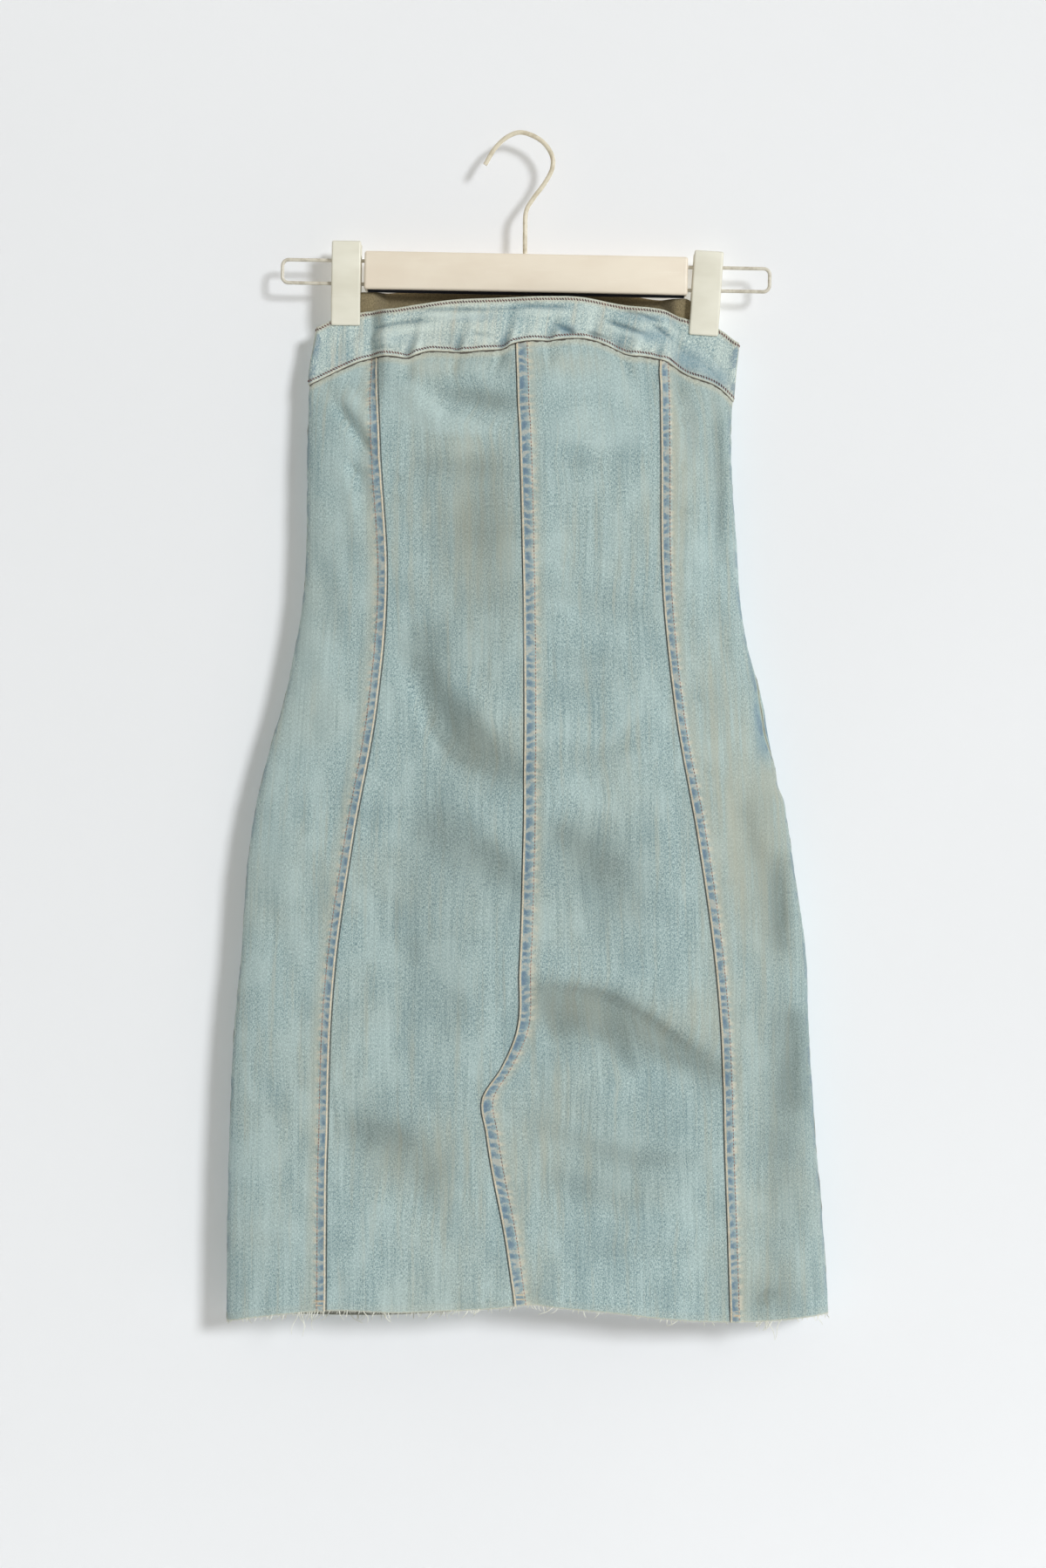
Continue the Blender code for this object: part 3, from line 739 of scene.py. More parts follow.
def faded_cloth(n, pale, middle, deep, tan, trough_shade, mottled, trough_shade_share):
    """The weave, and the colour that wear and washing leave on it, with painted shade in the troughs
    of folds and creases and a painted highlight on their heights.
    """
    warp = n.noise((1900.0, 460.0, 1.0), 2.0, 0.6, "cloth")
    twill = n.noise((2300.0, 800.0, 1.0), 1.0, 0.5, "cloth", TWILL_SLANT)
    weft = n.noise((420.0, 2300.0, 1.0), 1.0, 0.5, "cloth")
    grain = n.noise((1500.0, 1500.0, 1500.0), 2.0, 0.6)
    weave = n.times(warp, 0.44)
    for threads, share in ((twill, 0.26), (weft, 0.22), (grain, 0.08)):
        weave = n.plus(weave, n.times(threads, share))
    colour = n.mix(n.ramp(weave, 0.42, 0.58), deep, pale)
    colour = n.mix(0.1, colour, middle)
    cloudy = n.noise((9.0, 9.0, 9.0), 3.0, 0.55)
    broad_streaks = n.noise((150.0, 8.0, 1.0), 4.0, 0.65, "cloth")
    long_streaks = n.noise((620.0, 14.0, 1.0), 3.0, 0.6, "cloth")
    patchy = n.noise((48.0, 48.0, 26.0), 1.0, 0.5)
    tanned = n.times(n.measure("tanned"), n.ramp(broad_streaks, 0.3, 0.6, 0.35, 1.0))
    blued = n.measure("blued")
    painted_shading_and_wash = n.measure("painted_shading_and_wash")
    # What decides, from where to where it grows, its largest share, and its colour
    for value, none_at, most_at, most, other in (
        (cloudy, 0.45, 0.7, 0.22, tan),
        (broad_streaks, 0.5, 0.72, 0.42, tan),
        (broad_streaks, 0.5, 0.3, 0.35, pale),
        (long_streaks, 0.5, 0.7, 0.36, deep),
        (long_streaks, 0.48, 0.3, 0.25, pale),
        (patchy, 0.5, 0.72, 0.32, pale),
        (patchy, 0.48, 0.3, mottled, deep),
        (tanned, 0.0, 1.2, 0.55, tan),
        (blued, 0.0, 1.0, 0.6, KEPT_BLUE),
        # The last two put painted shade into the troughs of folds and creases and into darker wash
        # patches, and a painted highlight onto their heights and into paler wash patches
        (painted_shading_and_wash, -0.2, -6.0, trough_shade_share, trough_shade),
        (painted_shading_and_wash, 0.2, 3.0, 0.36, pale),
    ):
        colour = n.mix(n.ramp(value, none_at, most_at, 0.0, most), colour, other)
    return warp, weave, colour


def seam_colours(n, colour, tan):
    """Blue and pink spots down a felled seam, its rubbed fold, and blue pulls at a side seam."""
    felled = n.measure("felled")
    share = n.measure("fell_share")
    at_side = n.measure("side_seam")
    wander = n.noise((40.0, 40.0, 1.0), 2.0, 0.5, "cloth")
    down_cloth = n.add("SeparateXYZ", Vector=n.place((1.0, 1.0, 1.0), "cloth")).outputs["Y"]
    beat = n.calculate("SINE", n.plus(n.times(down_cloth, 760.0), n.times(wander, 22.0)))
    spots = n.times(n.noise((190.0, 330.0, 1.0), 4.0, 0.65, "cloth"), 0.8)
    spots = n.plus(n.times(beat, 0.11), spots)
    in_fell = n.times(n.ramp(felled, 1.5, 2.1), n.ramp(share, 1.05, 0.9))
    column = n.times(n.ramp(felled, 1.7, 2.8), n.ramp(share, 1.0, 0.45))
    blue = n.times(column, n.ramp(spots, 0.53, 0.27))
    rubbed = n.times(in_fell, n.ramp(spots, 0.42, 0.54))
    beyond = n.times(n.ramp(share, 0.75, 1.0), n.ramp(share, 1.7, 1.1))
    beyond = n.times(beyond, n.ramp(spots, 0.34, 0.52))
    beside = n.times(n.ramp(felled, 8.0, 10.0), n.ramp(felled, 20.0, 11.0))
    fold = n.times(n.ramp(felled, 0.3, 0.7), n.ramp(felled, 2.1, 1.4))
    rope = n.ramp(n.noise((300.0, 520.0, 1.0), 1.0, 0.5, "cloth"), 0.38, 0.6, 0.55, 0.95)
    pulls = n.noise((120.0, 62.0, 1.0), 2.0, 0.5, "cloth")
    pulled = n.times(n.ramp(at_side, 9.0, 2.0), n.ramp(pulls, 0.52, 0.42))
    for value, most, other in (
        (in_fell, 0.45, SEAM_SHADE),
        (blue, 0.8, SEAM_BLUE),
        (rubbed, 0.45, SEAM_PINK),
        (beyond, 0.5, SEAM_CREAM),
        (beside, 0.35, tan),
        (fold, rope, SEAM_CREAM),
        (pulled, 0.55, SEAM_BLUE),
    ):
        colour = n.mix(n.times(value, most), colour, other)
    colour = n.mix(n.ramp(at_side, 2.2, 0.8, 0.0, 0.45), colour, SIDE_EDGE)
    return n.times(in_fell, spots), colour


def denim(name, pale, middle, deep, tan, trough_shade, inner, gap_shadow, margin_tint, mottled, trough_shade_share):
    """Denim with its weave, slubs, painted highlights on its heights, painted shade in its troughs,
    rubbed seams, painted shadow in the gaps at its seams, and a tan inner side darkened with painted
    shade.
    The numbers after the colours are how dark the painted shadow line below a seam on its top edge is,
    how tan its upper margin is, how much deeper blue it is in patches and how much of the tan its
    lower margin has, and how strongly painted shade darkens its troughs."""
    n = Nodes(name, 0.88)
    warp, weave, colour = faded_cloth(n, pale, middle, deep, tan, trough_shade, mottled, trough_shade_share)
    seam_spots, colour = seam_colours(n, colour, tan)
    top = n.measure("down")
    hem = n.measure("up")
    # A paler tan along the top margin, and along the hem margin as much as mottled gives
    low_margin = n.times(n.ramp(hem, 8.0, 3.5), mottled)
    margin = n.calculate("MAXIMUM", n.ramp(top, 7.0, 2.0), low_margin)
    colour = n.mix(n.times(margin, margin_tint), colour, MARGIN_TINT)
    uneven = n.noise((260.0, 90.0, 260.0), 2.0, 0.5)
    near_seam = n.plus(top, n.ramp(uneven, 0.35, 0.65, 0.0, 0.8))
    frayed = n.plus(hem, n.ramp(warp, 0.3, 0.7, 0.0, 1.4))
    # A painted shadow line below the seam on the top edge and painted shade in the gaps at the side
    # edges, then the frayed cream of the hem
    for value, none_at, most_at, most, other in (
        (near_seam, 1.6, 0.9, gap_shadow, GAP_SHADOW_BROWN),
        (n.measure("edge"), 0.8, 0.3, 0.5, GAP_SHADOW_BROWN),
        (frayed, 2.0, 1.0, 0.7, HEM_CREAM),
    ):
        colour = n.mix(n.ramp(value, none_at, most_at, 0.0, most), colour, other)
    # The inner side, in its tan darkened with painted shade
    colour = n.mix(n.measure("inside"), colour, n.mix(n.ramp(weave, 0.4, 0.6), *inner))
    n.surface(Base_Color=colour, Sheen_Weight=0.22, Sheen_Roughness=0.6, Specular_IOR_Level=0.2)
    n.bump(n.plus(weave, n.times(seam_spots, 1.2)), 0.8, 0.0007)
    return n.material


SEAM_SHADE = paint(136, 158, 168)
SEAM_BLUE = paint(92, 119, 144)
KEPT_BLUE = paint(118, 150, 166)
SEAM_PINK = paint(200, 190, 174)
SIDE_EDGE = paint(196, 194, 158)
SEAM_CREAM = paint(230, 216, 192)
MARGIN_TINT = paint(218, 204, 174)
# Painted shadow in the gaps at the seams
GAP_SHADOW_BROWN = paint(70, 58, 50)
HEM_CREAM = paint(218, 216, 198)
# The inner side's tan, darkened with painted shade
SHADED_INNER_SIDE = (paint(100, 104, 96), paint(142, 142, 130))
# The fifth colour is the painted shade of the folds' troughs
panel_denim = denim(
    "panel_denim", paint(194, 213, 212), paint(162, 184, 184), paint(107, 134, 140),
    paint(181, 181, 164), paint(96, 104, 96), SHADED_INNER_SIDE,
    gap_shadow=0.95, margin_tint=0.32, mottled=0.2, trough_shade_share=0.5,
)

# The two seam lines that each panel lies between, and what is at its left and right edge: the
# side seam, the plain layer that a felled seam lies on, or the width of the felled seam. Then
# how wide and long the panel is cut, and its area.
PANELS = {
    "front_side_left": ((0, 1), ("side", 7.4), (0.128, 0.752, 0.0560)),
    "front_centre_left": ((1, 2), ("plain", "plain"), (0.154, 0.748, 0.0940)),
    "front_centre_right": ((2, 3), (9.0, "plain"), (0.193, 0.760, 0.1080)),
    "front_side_right": ((3, 4), (7.8, "side"), (0.134, 0.745, 0.0570)),
    "back_side_left": ((0, 1), ("side", "plain"), (0.143, 0.755, 0.0700)),
    "back_centre_left": ((1, 2), (6.0, "plain"), (0.141, 0.761, 0.0860)),
    "back_centre_right": ((2, 3), (9.0, 6.0), (0.143, 0.761, 0.0870)),
    "back_side_right": ((3, 4), ("plain", "side"), (0.148, 0.752, 0.0700)),
}
GRID_STEP = {"front": 2.35, "back": 3.6}
STEPS_TO_FINE = 2.2
USUAL_WIDTH = 0.8
EDGES = {"front": (FRONT_BAND_SEAM, FRONT_HEM), "back": (BACK_BAND_SEAM, BACK_HEM)}

cloth = {}
for seed, (panel, (lines, seams, cut)) in enumerate(PANELS.items()):
    side = panel.split("_")[0]
    step = GRID_STEP[side]
    raised = [kind != "plain" for kind in seams]
    shares = spaced(cut[0] / MM * USUAL_WIDTH, *raised, step / STEPS_TO_FINE, step)
    rows = np.linspace(0, 1, int(cut[1] / MM / step))
    turns, drops = cloth_grid(side, lines, *EDGES[side], shares, rows)
    drops[0] += SEAM_GAP / 2
    made, kept = cloth_mesh("panel_" + panel, side, turns, drops, DENIM, seams, 11 * seed)
    made.data.materials.append(panel_denim)
    cloth[panel] = kept
    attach(made, "root")
    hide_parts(panel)

# The top bands
# A curved band of doubled denim, a little paler than the panels, is sewn on along their top.
# It is drawn up in small puckers by its seam, and the clips pinch it at both ends.
FRONT_TOP = np.array([
    (-160, 150.5), (-150, 145.4), (-124, 138.8), (-115, 138.0), (-104, 138.2), (-82, 135.2),
    (-54, 131.7), (-20, 130.4), (18, 129.0), (42, 129.4), (77, 135.6), (108, 138.9),
    (127, 144.0), (152, 151.5), (168, 163.2),
])
BACK_TOP = np.array([
    (-160, 150.5), (-150, 147.0), (-142, 139.0), (-134, 128.5), (-128, 123.6), (-119, 122.8),
    (-104, 121.8), (-80, 119.6), (-40, 117.2), (0, 116.6), (40, 118.4), (80, 122.6),
    (104, 127.0), (119, 127.8), (130, 129.2), (137, 137.0), (143, 147.0), (152, 156.5),
    (168, 163.2),
])
BAND_SEEDS = {"front": 100, "back": 200}
BAND_COLUMNS = 300
BAND_TOP_DROP = 132
BAND_SWELL = 0.7
BAND_RIDGE = 0.35
PUCKER_LEAN = 0.25
PUCKER_REACH = 12.0

# Puckers that start at the band's lower seam: place across, half width, height
BAND_PUCKERS = [
    (-132, 6, 1.6), (-121, 3.6, -2.4), (-110, 5, 1.4), (-90, 3.2, -3.6), (-83, 3.0, 1.8),
    (-70, 5, 1.2), (-52, 3.0, -3.0), (-46, 2.8, 1.5), (-30, 5, 1.4), (-16, 3.4, -3.8),
    (-9, 3.0, 2.2), (6, 6, 1.4), (20, 3.0, -2.6), (26, 3, 1.4), (40, 5, 1.2), (54, 3.4, -2.4),
    (72, 3.4, -2.6), (78, 3.0, -2.0), (86, 3.4, 2.0), (104, 3.4, -2.6), (111, 3.4, 1.4),
    (126, 4.0, -3.0), (135, 4.0, 1.8), (148, 4, -1.6),
]


def band_folds(across, down, up, seed):
    """The puckers of the band's lower seam, and the creases along the front one."""
    puckers = np.zeros_like(across)
    for place, half_width, height in BAND_PUCKERS:
        leaning = across - place - PUCKER_LEAN * up
        grown = (0.5 + 0.85 * ease(up / 4.5)) * np.exp(-up / PUCKER_REACH)
        puckers += height * grown * np.exp(-((leaning / half_width) ** 2))
    ripple = 0.22 * soft_noise(across + 400, seed + 5, 2.6) * np.exp(-up / 6.0)
    creases = np.zeros_like(across)
    if seed == BAND_SEEDS["front"]:
        creases = crease_height(BAND_CREASES, across, down)
    return (puckers + ripple + creases) * (1 - 0.75 * grip(across, down + BAND_TOP_DROP))


def band_relief(across, down, up, seed):
    """The band's stitched edges are thin and firm, and between them it swells and puckers."""
    swell = BAND_SWELL * ease(down / 6.0) * ease(up / 7.0)
    top_ridge = BAND_RIDGE * np.exp(-(((down - 1.2) / 1.3) ** 2))
    seam_ridge = BAND_RIDGE * np.exp(-(((up - 1.0) / 0.8) ** 2))
    return swell + (top_ridge + seam_ridge) + band_folds(across, down, up, seed)


# Creases along the front band: points as place across and distance below its top edge
BAND_CREASES = [
    ([(-152, 26), (-126, 16), (-98, 12), (-62, 14)], 1.5, -1.5),
    ([(-150, 31), (-120, 22), (-92, 19), (-60, 20)], 3.4, 1.2),
    ([(-86, 3), (-62, 7), (-30, 9)], 1.4, -1.4),
    ([(-84, 9), (-56, 13), (-28, 14)], 3.4, 1.0),
    ([(-46, 8), (-20, 9), (6, 8)], 1.3, -1.1),
    ([(-6, 6), (16, 8), (38, 8)], 1.5, -1.3),
    ([(-6, 12), (20, 14), (40, 14)], 3.2, 0.9),
    ([(24, 22), (34, 26), (42, 31)], 1.9, -2.2),
    ([(60, 14), (80, 17), (98, 22)], 1.5, -1.7),
    ([(58, 19), (80, 23), (96, 28)], 3.2, 1.2),
    ([(74, 4), (92, 6), (110, 12)], 1.4, -1.4),
    ([(96, 12), (116, 20), (132, 32)], 1.7, -1.9),
    ([(104, 8), (126, 18), (148, 30)], 3.0, 1.3),
    ([(120, 24), (140, 32), (156, 40)], 1.7, -1.7),
    ([(128, 14), (146, 24), (160, 32)], 1.6, -1.4),
    ([(-140, 36), (-118, 30), (-96, 31)], 1.7, -1.3),
    ([(-44, 26), (-24, 30)], 1.6, -1.2),
    ([(44, 26), (72, 29)], 1.6, -1.2),
]

# The fifth colour is the painted shade of the creases' troughs, and the inner side's tan is darkened
# with painted shade
band_denim = denim(
    "band_denim", paint(220, 232, 226), paint(186, 204, 199), paint(104, 138, 149),
    paint(218, 206, 182), paint(70, 102, 118), (paint(118, 106, 80), paint(152, 138, 106)),
    gap_shadow=0.0, margin_tint=0.42, mottled=0.25, trough_shade_share=0.5,
)
for side, top, row_count in (("front", FRONT_TOP, 46), ("back", BACK_TOP, 40)):
    shares = np.linspace(0, 1, BAND_COLUMNS)
    rows = np.linspace(0, 1, row_count)
    turns, drops = cloth_grid(side, (0, 4), top, EDGES[side][0], shares, rows)
    drops[-1] -= SEAM_GAP / 2
    made, kept = cloth_mesh(
        "top_band_" + side, side, turns, drops, DOUBLE_DENIM, ("side", "side"),
        BAND_SEEDS[side], band=True,
    )
    made.data.materials.append(band_denim)
    cloth["band_" + side] = kept
    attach(made, "root")
    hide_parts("band_" + side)

# The stitching
# Rows of cotton thread hold the felled seams down, and run under the band's top edge and above
# its lower seam. Each stitch is a short raised strand.
LOOK_AHEAD = 0.4
STITCH_SIDES = 5
# A stitch's rings: share of its length, and girth and rise as shares of its width
STITCH_RINGS = (
    (-0.5, 0.35, -0.12), (-0.36, 0.85, 0.12), (0.0, 1.0, 0.22), (0.36, 0.85, 0.12),
    (0.5, 0.35, -0.12),
)


def read_line(stations, places, at):
    """Places in space from a line's table of them, at one or many of its stations."""
    return np.stack([np.interp(at, stations, places[:, axis]) for axis in range(3)], axis=-1)


def line_on_cloth(kept, measure, distance):
    """The line across or down a sheet that keeps one distance from an edge, and its outs."""
    measures = kept[measure]
    grids = [kept["points"], kept["out"]]
    if measure in ("down", "up"):
        measures = measures.T
        grids = [grid.transpose(1, 0, 2) for grid in grids]
    found = []
    for row, *tables in zip(measures, *grids):
        order = np.argsort(row)
        found.append([read_line(row[order], table[order], distance) for table in tables])
    line, out = np.array(found).transpose(1, 0, 2)
    return line, unit(out)


def evenly(line, out, pitch):
    """Places each pitch along a line, with the way ahead and the way out of the cloth."""
    gone = gone_along(line, 0)
    at = np.arange(pitch / 2, gone[-1] - pitch / 3, pitch)
    ahead = read_line(gone, line, at + LOOK_AHEAD) - read_line(gone, line, at - LOOK_AHEAD)
    return read_line(gone, line, at), unit(ahead), unit(read_line(gone, out, at))


def thread_piece(name, points, faces, thread):
    made = make_mesh(name, points, faces)
    made.data.materials.append(thread)
    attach(made, "root")
    return made


def ring(middle, first_way, second_way, radius, sides):
    """Points of a ring, which starts on its first way and turns to its second."""
    angles = [2 * math.pi * corner / sides for corner in range(sides)]
    return [
        middle + radius * (first_way * math.cos(a) + second_way * math.sin(a)) for a in angles
    ]


def tube_faces(first, rings, sides, turned=False):
    """Faces of a closed tube, from the number of its first ring's first point."""
    faces = []
    for a in range(first, first + (rings - 1) * sides):
        b = a + 1 if (a - first + 1) % sides else a + 1 - sides
        faces.append((a, a + sides, b + sides, b) if turned else (a, b, b + sides, a + sides))
    low = tuple(range(first, first + sides))
    high = tuple(range(first + (rings - 1) * sides, first + rings * sides))
    return faces + ([low, high[::-1]] if turned else [low[::-1], high])


def stitch_row(name, thread, rows, length=2.0, width=0.5, lean=0.0):
    """A row of stitches as one piece: each is a strand of five rings that dips in at both
    ends. rows has one (line, outs, pitch) for each run of the row."""
    source = random.Random(name)
    points = []
    faces = []
    for line, outs, pitch in rows:
        for place, ahead, out in zip(*evenly(line, outs, pitch)):
            beside = np.cross(ahead, out)
            turn = lean + source.uniform(-0.12, 0.12)
            way = ahead * math.cos(turn) + beside * math.sin(turn)
            beside = np.cross(way, out)
            size = length * source.uniform(0.88, 1.08)
            faces += tube_faces(len(points), len(STITCH_RINGS), STITCH_SIDES, turned=True)
            for share, girth, rise in STITCH_RINGS:
                middle = place + way * share * size + out * rise * width
                points += ring(middle, beside, out, girth * width / 2, STITCH_SIDES)
    return thread_piece(name, points, faces, thread)


def thread_finish(name, light, dark):
    """Spun cotton: fine twisted plies, with a colour that changes a little along the row."""
    n = Nodes(name, 0.7)
    uneven = n.noise((140.0, 140.0, 140.0), 2.0, 0.6)
    plies = n.noise((2600.0, 2600.0, 2600.0), 1.0, 0.5)
    colour = n.mix(n.ramp(uneven, 0.38, 0.62), dark, light)
    colour = n.mix(n.ramp(plies, 0.4, 0.65, 0.0, 0.35), colour, light)
    n.surface(Base_Color=colour, Sheen_Weight=0.3)
    n.bump(plies, 0.5, 0.0002)
    return n.material


rose_thread = thread_finish("rose_thread", paint(176, 146, 136), paint(122, 98, 94))
mauve_thread = thread_finish("mauve_thread", paint(126, 92, 86), paint(68, 50, 60))
cream_thread = thread_finish("cream_thread", paint(232, 218, 192), paint(196, 176, 146))

stitches = {panel: [] for panel in cloth}
# Felled seams: panel, edge they are measured from, distances of the row on the fold and the far row
SEAM_ROWS = [
    ("front_side_left", "right", 1.5, 7.1),
    ("front_centre_right", "left", 1.6, 9.2),
    ("front_side_right", "left", 1.5, 7.5),
    ("back_centre_left", "left", 1.6, 5.8),
    ("back_centre_right", "left", 1.6, 9.2),
    ("back_centre_right", "right", 1.6, 5.8),
]
for panel, edge, on_fold, far in SEAM_ROWS:
    for place, distance, pitch, thread, girth in (
        ("fold", on_fold, 2.5, cream_thread, 0.6),
        ("far", far, 2.7, rose_thread, 0.8),
    ):
        line, outs = line_on_cloth(cloth[panel], edge, distance)
        name = "stitches_%s_%s_%s" % (panel, edge, place)
        made = stitch_row(name, thread, [(line, outs, pitch)], width=girth)
        stitches[panel].append(made)

for side in ("front", "back"):
    for place, edge, distance, lean in (("top_edge", "down", 2.3, 0.9), ("band_seam", "up", 2.7, 0.8)):
        line, outs = line_on_cloth(cloth["band_" + side], edge, distance)
        made = stitch_row(
            "stitches_%s_%s" % (place, side), mauve_thread, [(line, outs, 2.2)],
            length=2.4, width=1.1, lean=lean,
        )
        stitches["band_" + side].append(made)

# The raw hem
# The hem is cut and left unfinished: its pale threads have come away from the edge in a short
# fringe, with a few longer ones. A bar tack ends each felled seam in front and the middle one
# behind.
FRINGE_PITCH = 0.8
SHORT_FRAY = (0.7, 2.3)
LONG_FRAY = (3.2, 7.0)
LONG_SHARE = 0.13
THIN_FRAY = (0.3, 0.5)
THICK_FRAY = (0.9, 1.3)
FRAY_TUCK = 0.9
FRAY_STEPS = 4
LOOSE_STEPS = 11


def strand(points, faces, route, width, sides=3, taper=0.6, across=(0.13, 0.97, 0.21)):
    """Adds a thread or wire along a route to a mesh's lists, tapered to its free end. Its rings
    start square to the across way."""
    faces += tube_faces(len(points), len(route), sides)
    last = len(route) - 1
    for step, place in enumerate(route):
        way = unit(route[min(step + 1, last)] - route[max(step - 1, 0)])
        beside = unit(np.cross(way, across))
        girth = width / 2 * (1 - taper * step / last)
        points += ring(place, beside, np.cross(way, beside), girth, sides)


def fringe(name, kept, seed):
    """Short frayed ends all along a panel's raw edge, longer and thicker here and there."""
    source = random.Random(seed)
    line = kept["points"][-1] - kept["out"][-1] * DENIM / 2
    places, aheads, outs = evenly(line, kept["out"][-1], FRINGE_PITCH)
    points = []
    faces = []
    for number, (place, ahead, out) in enumerate(zip(places, aheads, outs)):
        bushy = 0.75 + 0.5 * soft_noise(np.array([number * FRINGE_PITCH]), seed, 14.0)[0]
        reach = source.uniform(*SHORT_FRAY) * max(0.35, bushy)
        width = source.uniform(*THIN_FRAY)
        if source.random() < LONG_SHARE:
            reach = source.uniform(*LONG_FRAY) * max(0.6, bushy)
            width = source.uniform(*THICK_FRAY)
        drift = ahead * source.gauss(-0.25, 0.5) + out * source.uniform(-0.35, 0.45)
        curl = ahead * source.gauss(0, 0.5) + out * source.uniform(-0.3, 0.3)
        start = place + out * source.uniform(-0.45, 0.45) + np.array([0.0, 0.0, FRAY_TUCK])
        route = []
        for share in np.arange(FRAY_STEPS + 1) / FRAY_STEPS:
            fall = np.array([0.0, 0.0, -reach * share - FRAY_TUCK * min(1, share * 2)])
            route.append(start + fall + drift * reach * share + curl * reach * share**2)
        strand(points, faces, route, width)
    return thread_piece(name, points, faces, fray_thread)


fray_thread = thread_finish("fray_thread", paint(246, 246, 236), paint(216, 216, 204))
for seed, panel in enumerate(PANELS):
    stitches[panel].append(fringe("fringe_" + panel, cloth[panel], seed))

# Longer loose threads: panel, place along the hem from its left edge, reach, sideways drift
LOOSE_THREADS = [
    ("front_side_left", 64.0, 17.0, -0.25), ("front_side_left", 68.0, 19.0, 0.05),
    ("front_side_left", 66.0, 12.0, 0.3), ("front_side_right", 30.0, 15.0, 0.35),
    ("front_side_right", 41.0, 16.0, -0.4), ("front_side_right", 72.0, 8.0, 0.2),
    ("front_centre_left", 30.0, 9.0, 0.3), ("front_centre_left", 96.0, 7.0, -0.3),
    ("back_side_left", 70.0, 14.0, 0.2), ("back_centre_right", 60.0, 11.0, -0.2),
    ("back_side_right", 44.0, 16.0, 0.15),
]
for panel in PANELS:
    points = []
    faces = []
    for owner, along, reach, drift in LOOSE_THREADS:
        if owner != panel:
            continue
        start = read_line(cloth[panel]["left"][-1], cloth[panel]["points"][-1], along)
        route = []
        for share in np.arange(LOOSE_STEPS + 1) / LOOSE_STEPS:
            sway = drift * reach * share + 1.1 * math.sin(5 * share + along)
            route.append(start + np.array([sway, 0.4 * math.sin(4 * share), 0.8 - reach * share]))
        strand(points, faces, route, 0.75, sides=5)
    if points:
        name = "loose_threads_" + panel
        stitches[panel].append(thread_piece(name, points, faces, fray_thread))

# Bar tacks, each of four short rows: panel, edge, distance from it, distance above the hem
TACKS = [
    ("front_centre_right", "left", 5.0, 6.0), ("front_side_right", "left", 4.4, 5.0),
    ("front_side_left", "right", 4.2, 6.0), ("back_centre_right", "left", 5.0, 6.0),
]
TACK_ROWS = 4
TACK_HALF = 4.0
for panel, edge, distance, above in TACKS:
    line, outs = line_on_cloth(cloth[panel], edge, distance)
    runs = []
    for row in range(TACK_ROWS):
        end = len(line) - 1 - int((above + 0.7 * row) / GRID_STEP["front"])
        aside = np.linspace(-TACK_HALF, TACK_HALF, 5)[:, None] * np.array([1.0, 0.0, 0.0])
        run = line[end] + np.array([0.0, 0.0, 0.55 * row]) + aside
        runs.append((run, np.repeat(outs[end : end + 1], len(run), axis=0), 1.3))
    name = "bar_tack_%s_%s" % (panel, edge)
    stitches[panel].append(
        stitch_row(name, cream_thread, runs, length=1.6, width=0.5, lean=0.3)
    )

# The hanger's hook
# One length of plated steel wire, bent round its crown and back to the middle of the bar, with
# its tip cut off square. It is drawn as it is bent: a disc pushed along, turned at each step.
WIRE_SIDES = 18
HOOK_WIRE = 3.6
HOOK_STEPS = 7
HOOK_ROUTE = np.array([
    (-29.6, 23.4), (-21.8, 10.5), (-11.6, 1.3), (-0.3, -HOOK_WIRE / 2), (14.0, 4.4),
    (22.2, 15.2), (22.9, 25.9), (17.0, 37.7), (8.2, 49.4), (2.4, 60.0), (1.6, 76.0),
    (1.6, 93.9),
])


def edit(action="SELECT"):
    """Starts to edit the piece that is worked on, with all of its parts selected or none."""
    bpy.ops.object.mode_set(mode="EDIT")
    bpy.ops.mesh.select_all(action=action)


def done(angle=None):
    """Ends the editing, and shades the piece smooth across edges that bend less than angle."""
    bpy.ops.object.mode_set(mode="OBJECT")
    if angle:
        bpy.ops.object.shade_smooth_by_angle(angle=math.radians(angle))


def lasting():
    """Makes a piece's place, turn and size part of its mesh."""
    bpy.ops.object.transform_apply(location=True, rotation=True, scale=True)


def half_turn(angle):
    """The same direction between half a turn to either side."""
    return (angle + math.pi) % (2 * math.pi) - math.pi


def bent_wire(name, route, diameter, material, node):
    """Pushes a disc along a route of places in metres, all in the hanger's plane."""
    bpy.ops.object.select_all(action="DESELECT")
    pushes = [after - before for before, after in zip(route, route[1:])]
    headings = [math.atan2(push.x, push.z) for push in pushes]
    heading = headings[0]
    bpy.ops.mesh.primitive_circle_add(
        vertices=WIRE_SIDES, radius=diameter / 2, fill_type="NGON", location=route[0],
        rotation=(0.0, heading, 0.0),
    )
    made = bpy.context.object
    edit()
    for step, push in enumerate(pushes):
        bpy.ops.mesh.extrude_region_move(TRANSFORM_OT_translate={"value": push})
        if step + 1 < len(pushes):
            bend = half_turn(headings[step + 1] - heading)
            turned = (bend + half_turn(headings[step] - heading)) / 2
            bpy.ops.transform.rotate(
                value=-turned, orient_axis="Y", center_override=route[step + 1]
            )
            heading += turned
    bpy.ops.mesh.select_all(action="SELECT")
    bpy.ops.mesh.normals_make_consistent(inside=False)
    done()
    lasting()
    bpy.ops.object.shade_smooth_by_angle(angle=math.radians(40))
    made.name = name
    made.data.materials.append(material)
    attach(made, "root")
    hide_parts(node)


def wire_finish(name, light, shaded):
    """Pale satin plating on drawn wire, with long draw lines and a few duller patches."""
    n = Nodes(name, 0.34)
    patches = n.noise((160.0, 160.0, 160.0), 3.0, 0.6)
    fine = n.noise((1800.0, 1800.0, 1800.0), 2.0, 0.6)
    n.surface(
        Base_Color=n.mix(n.ramp(patches, 0.4, 0.7), light, shaded),
        Roughness=n.ramp(patches, 0.3, 0.7, 0.26, 0.46),
    )
    n.bump(fine, 0.12, 0.0001)
    return n.material


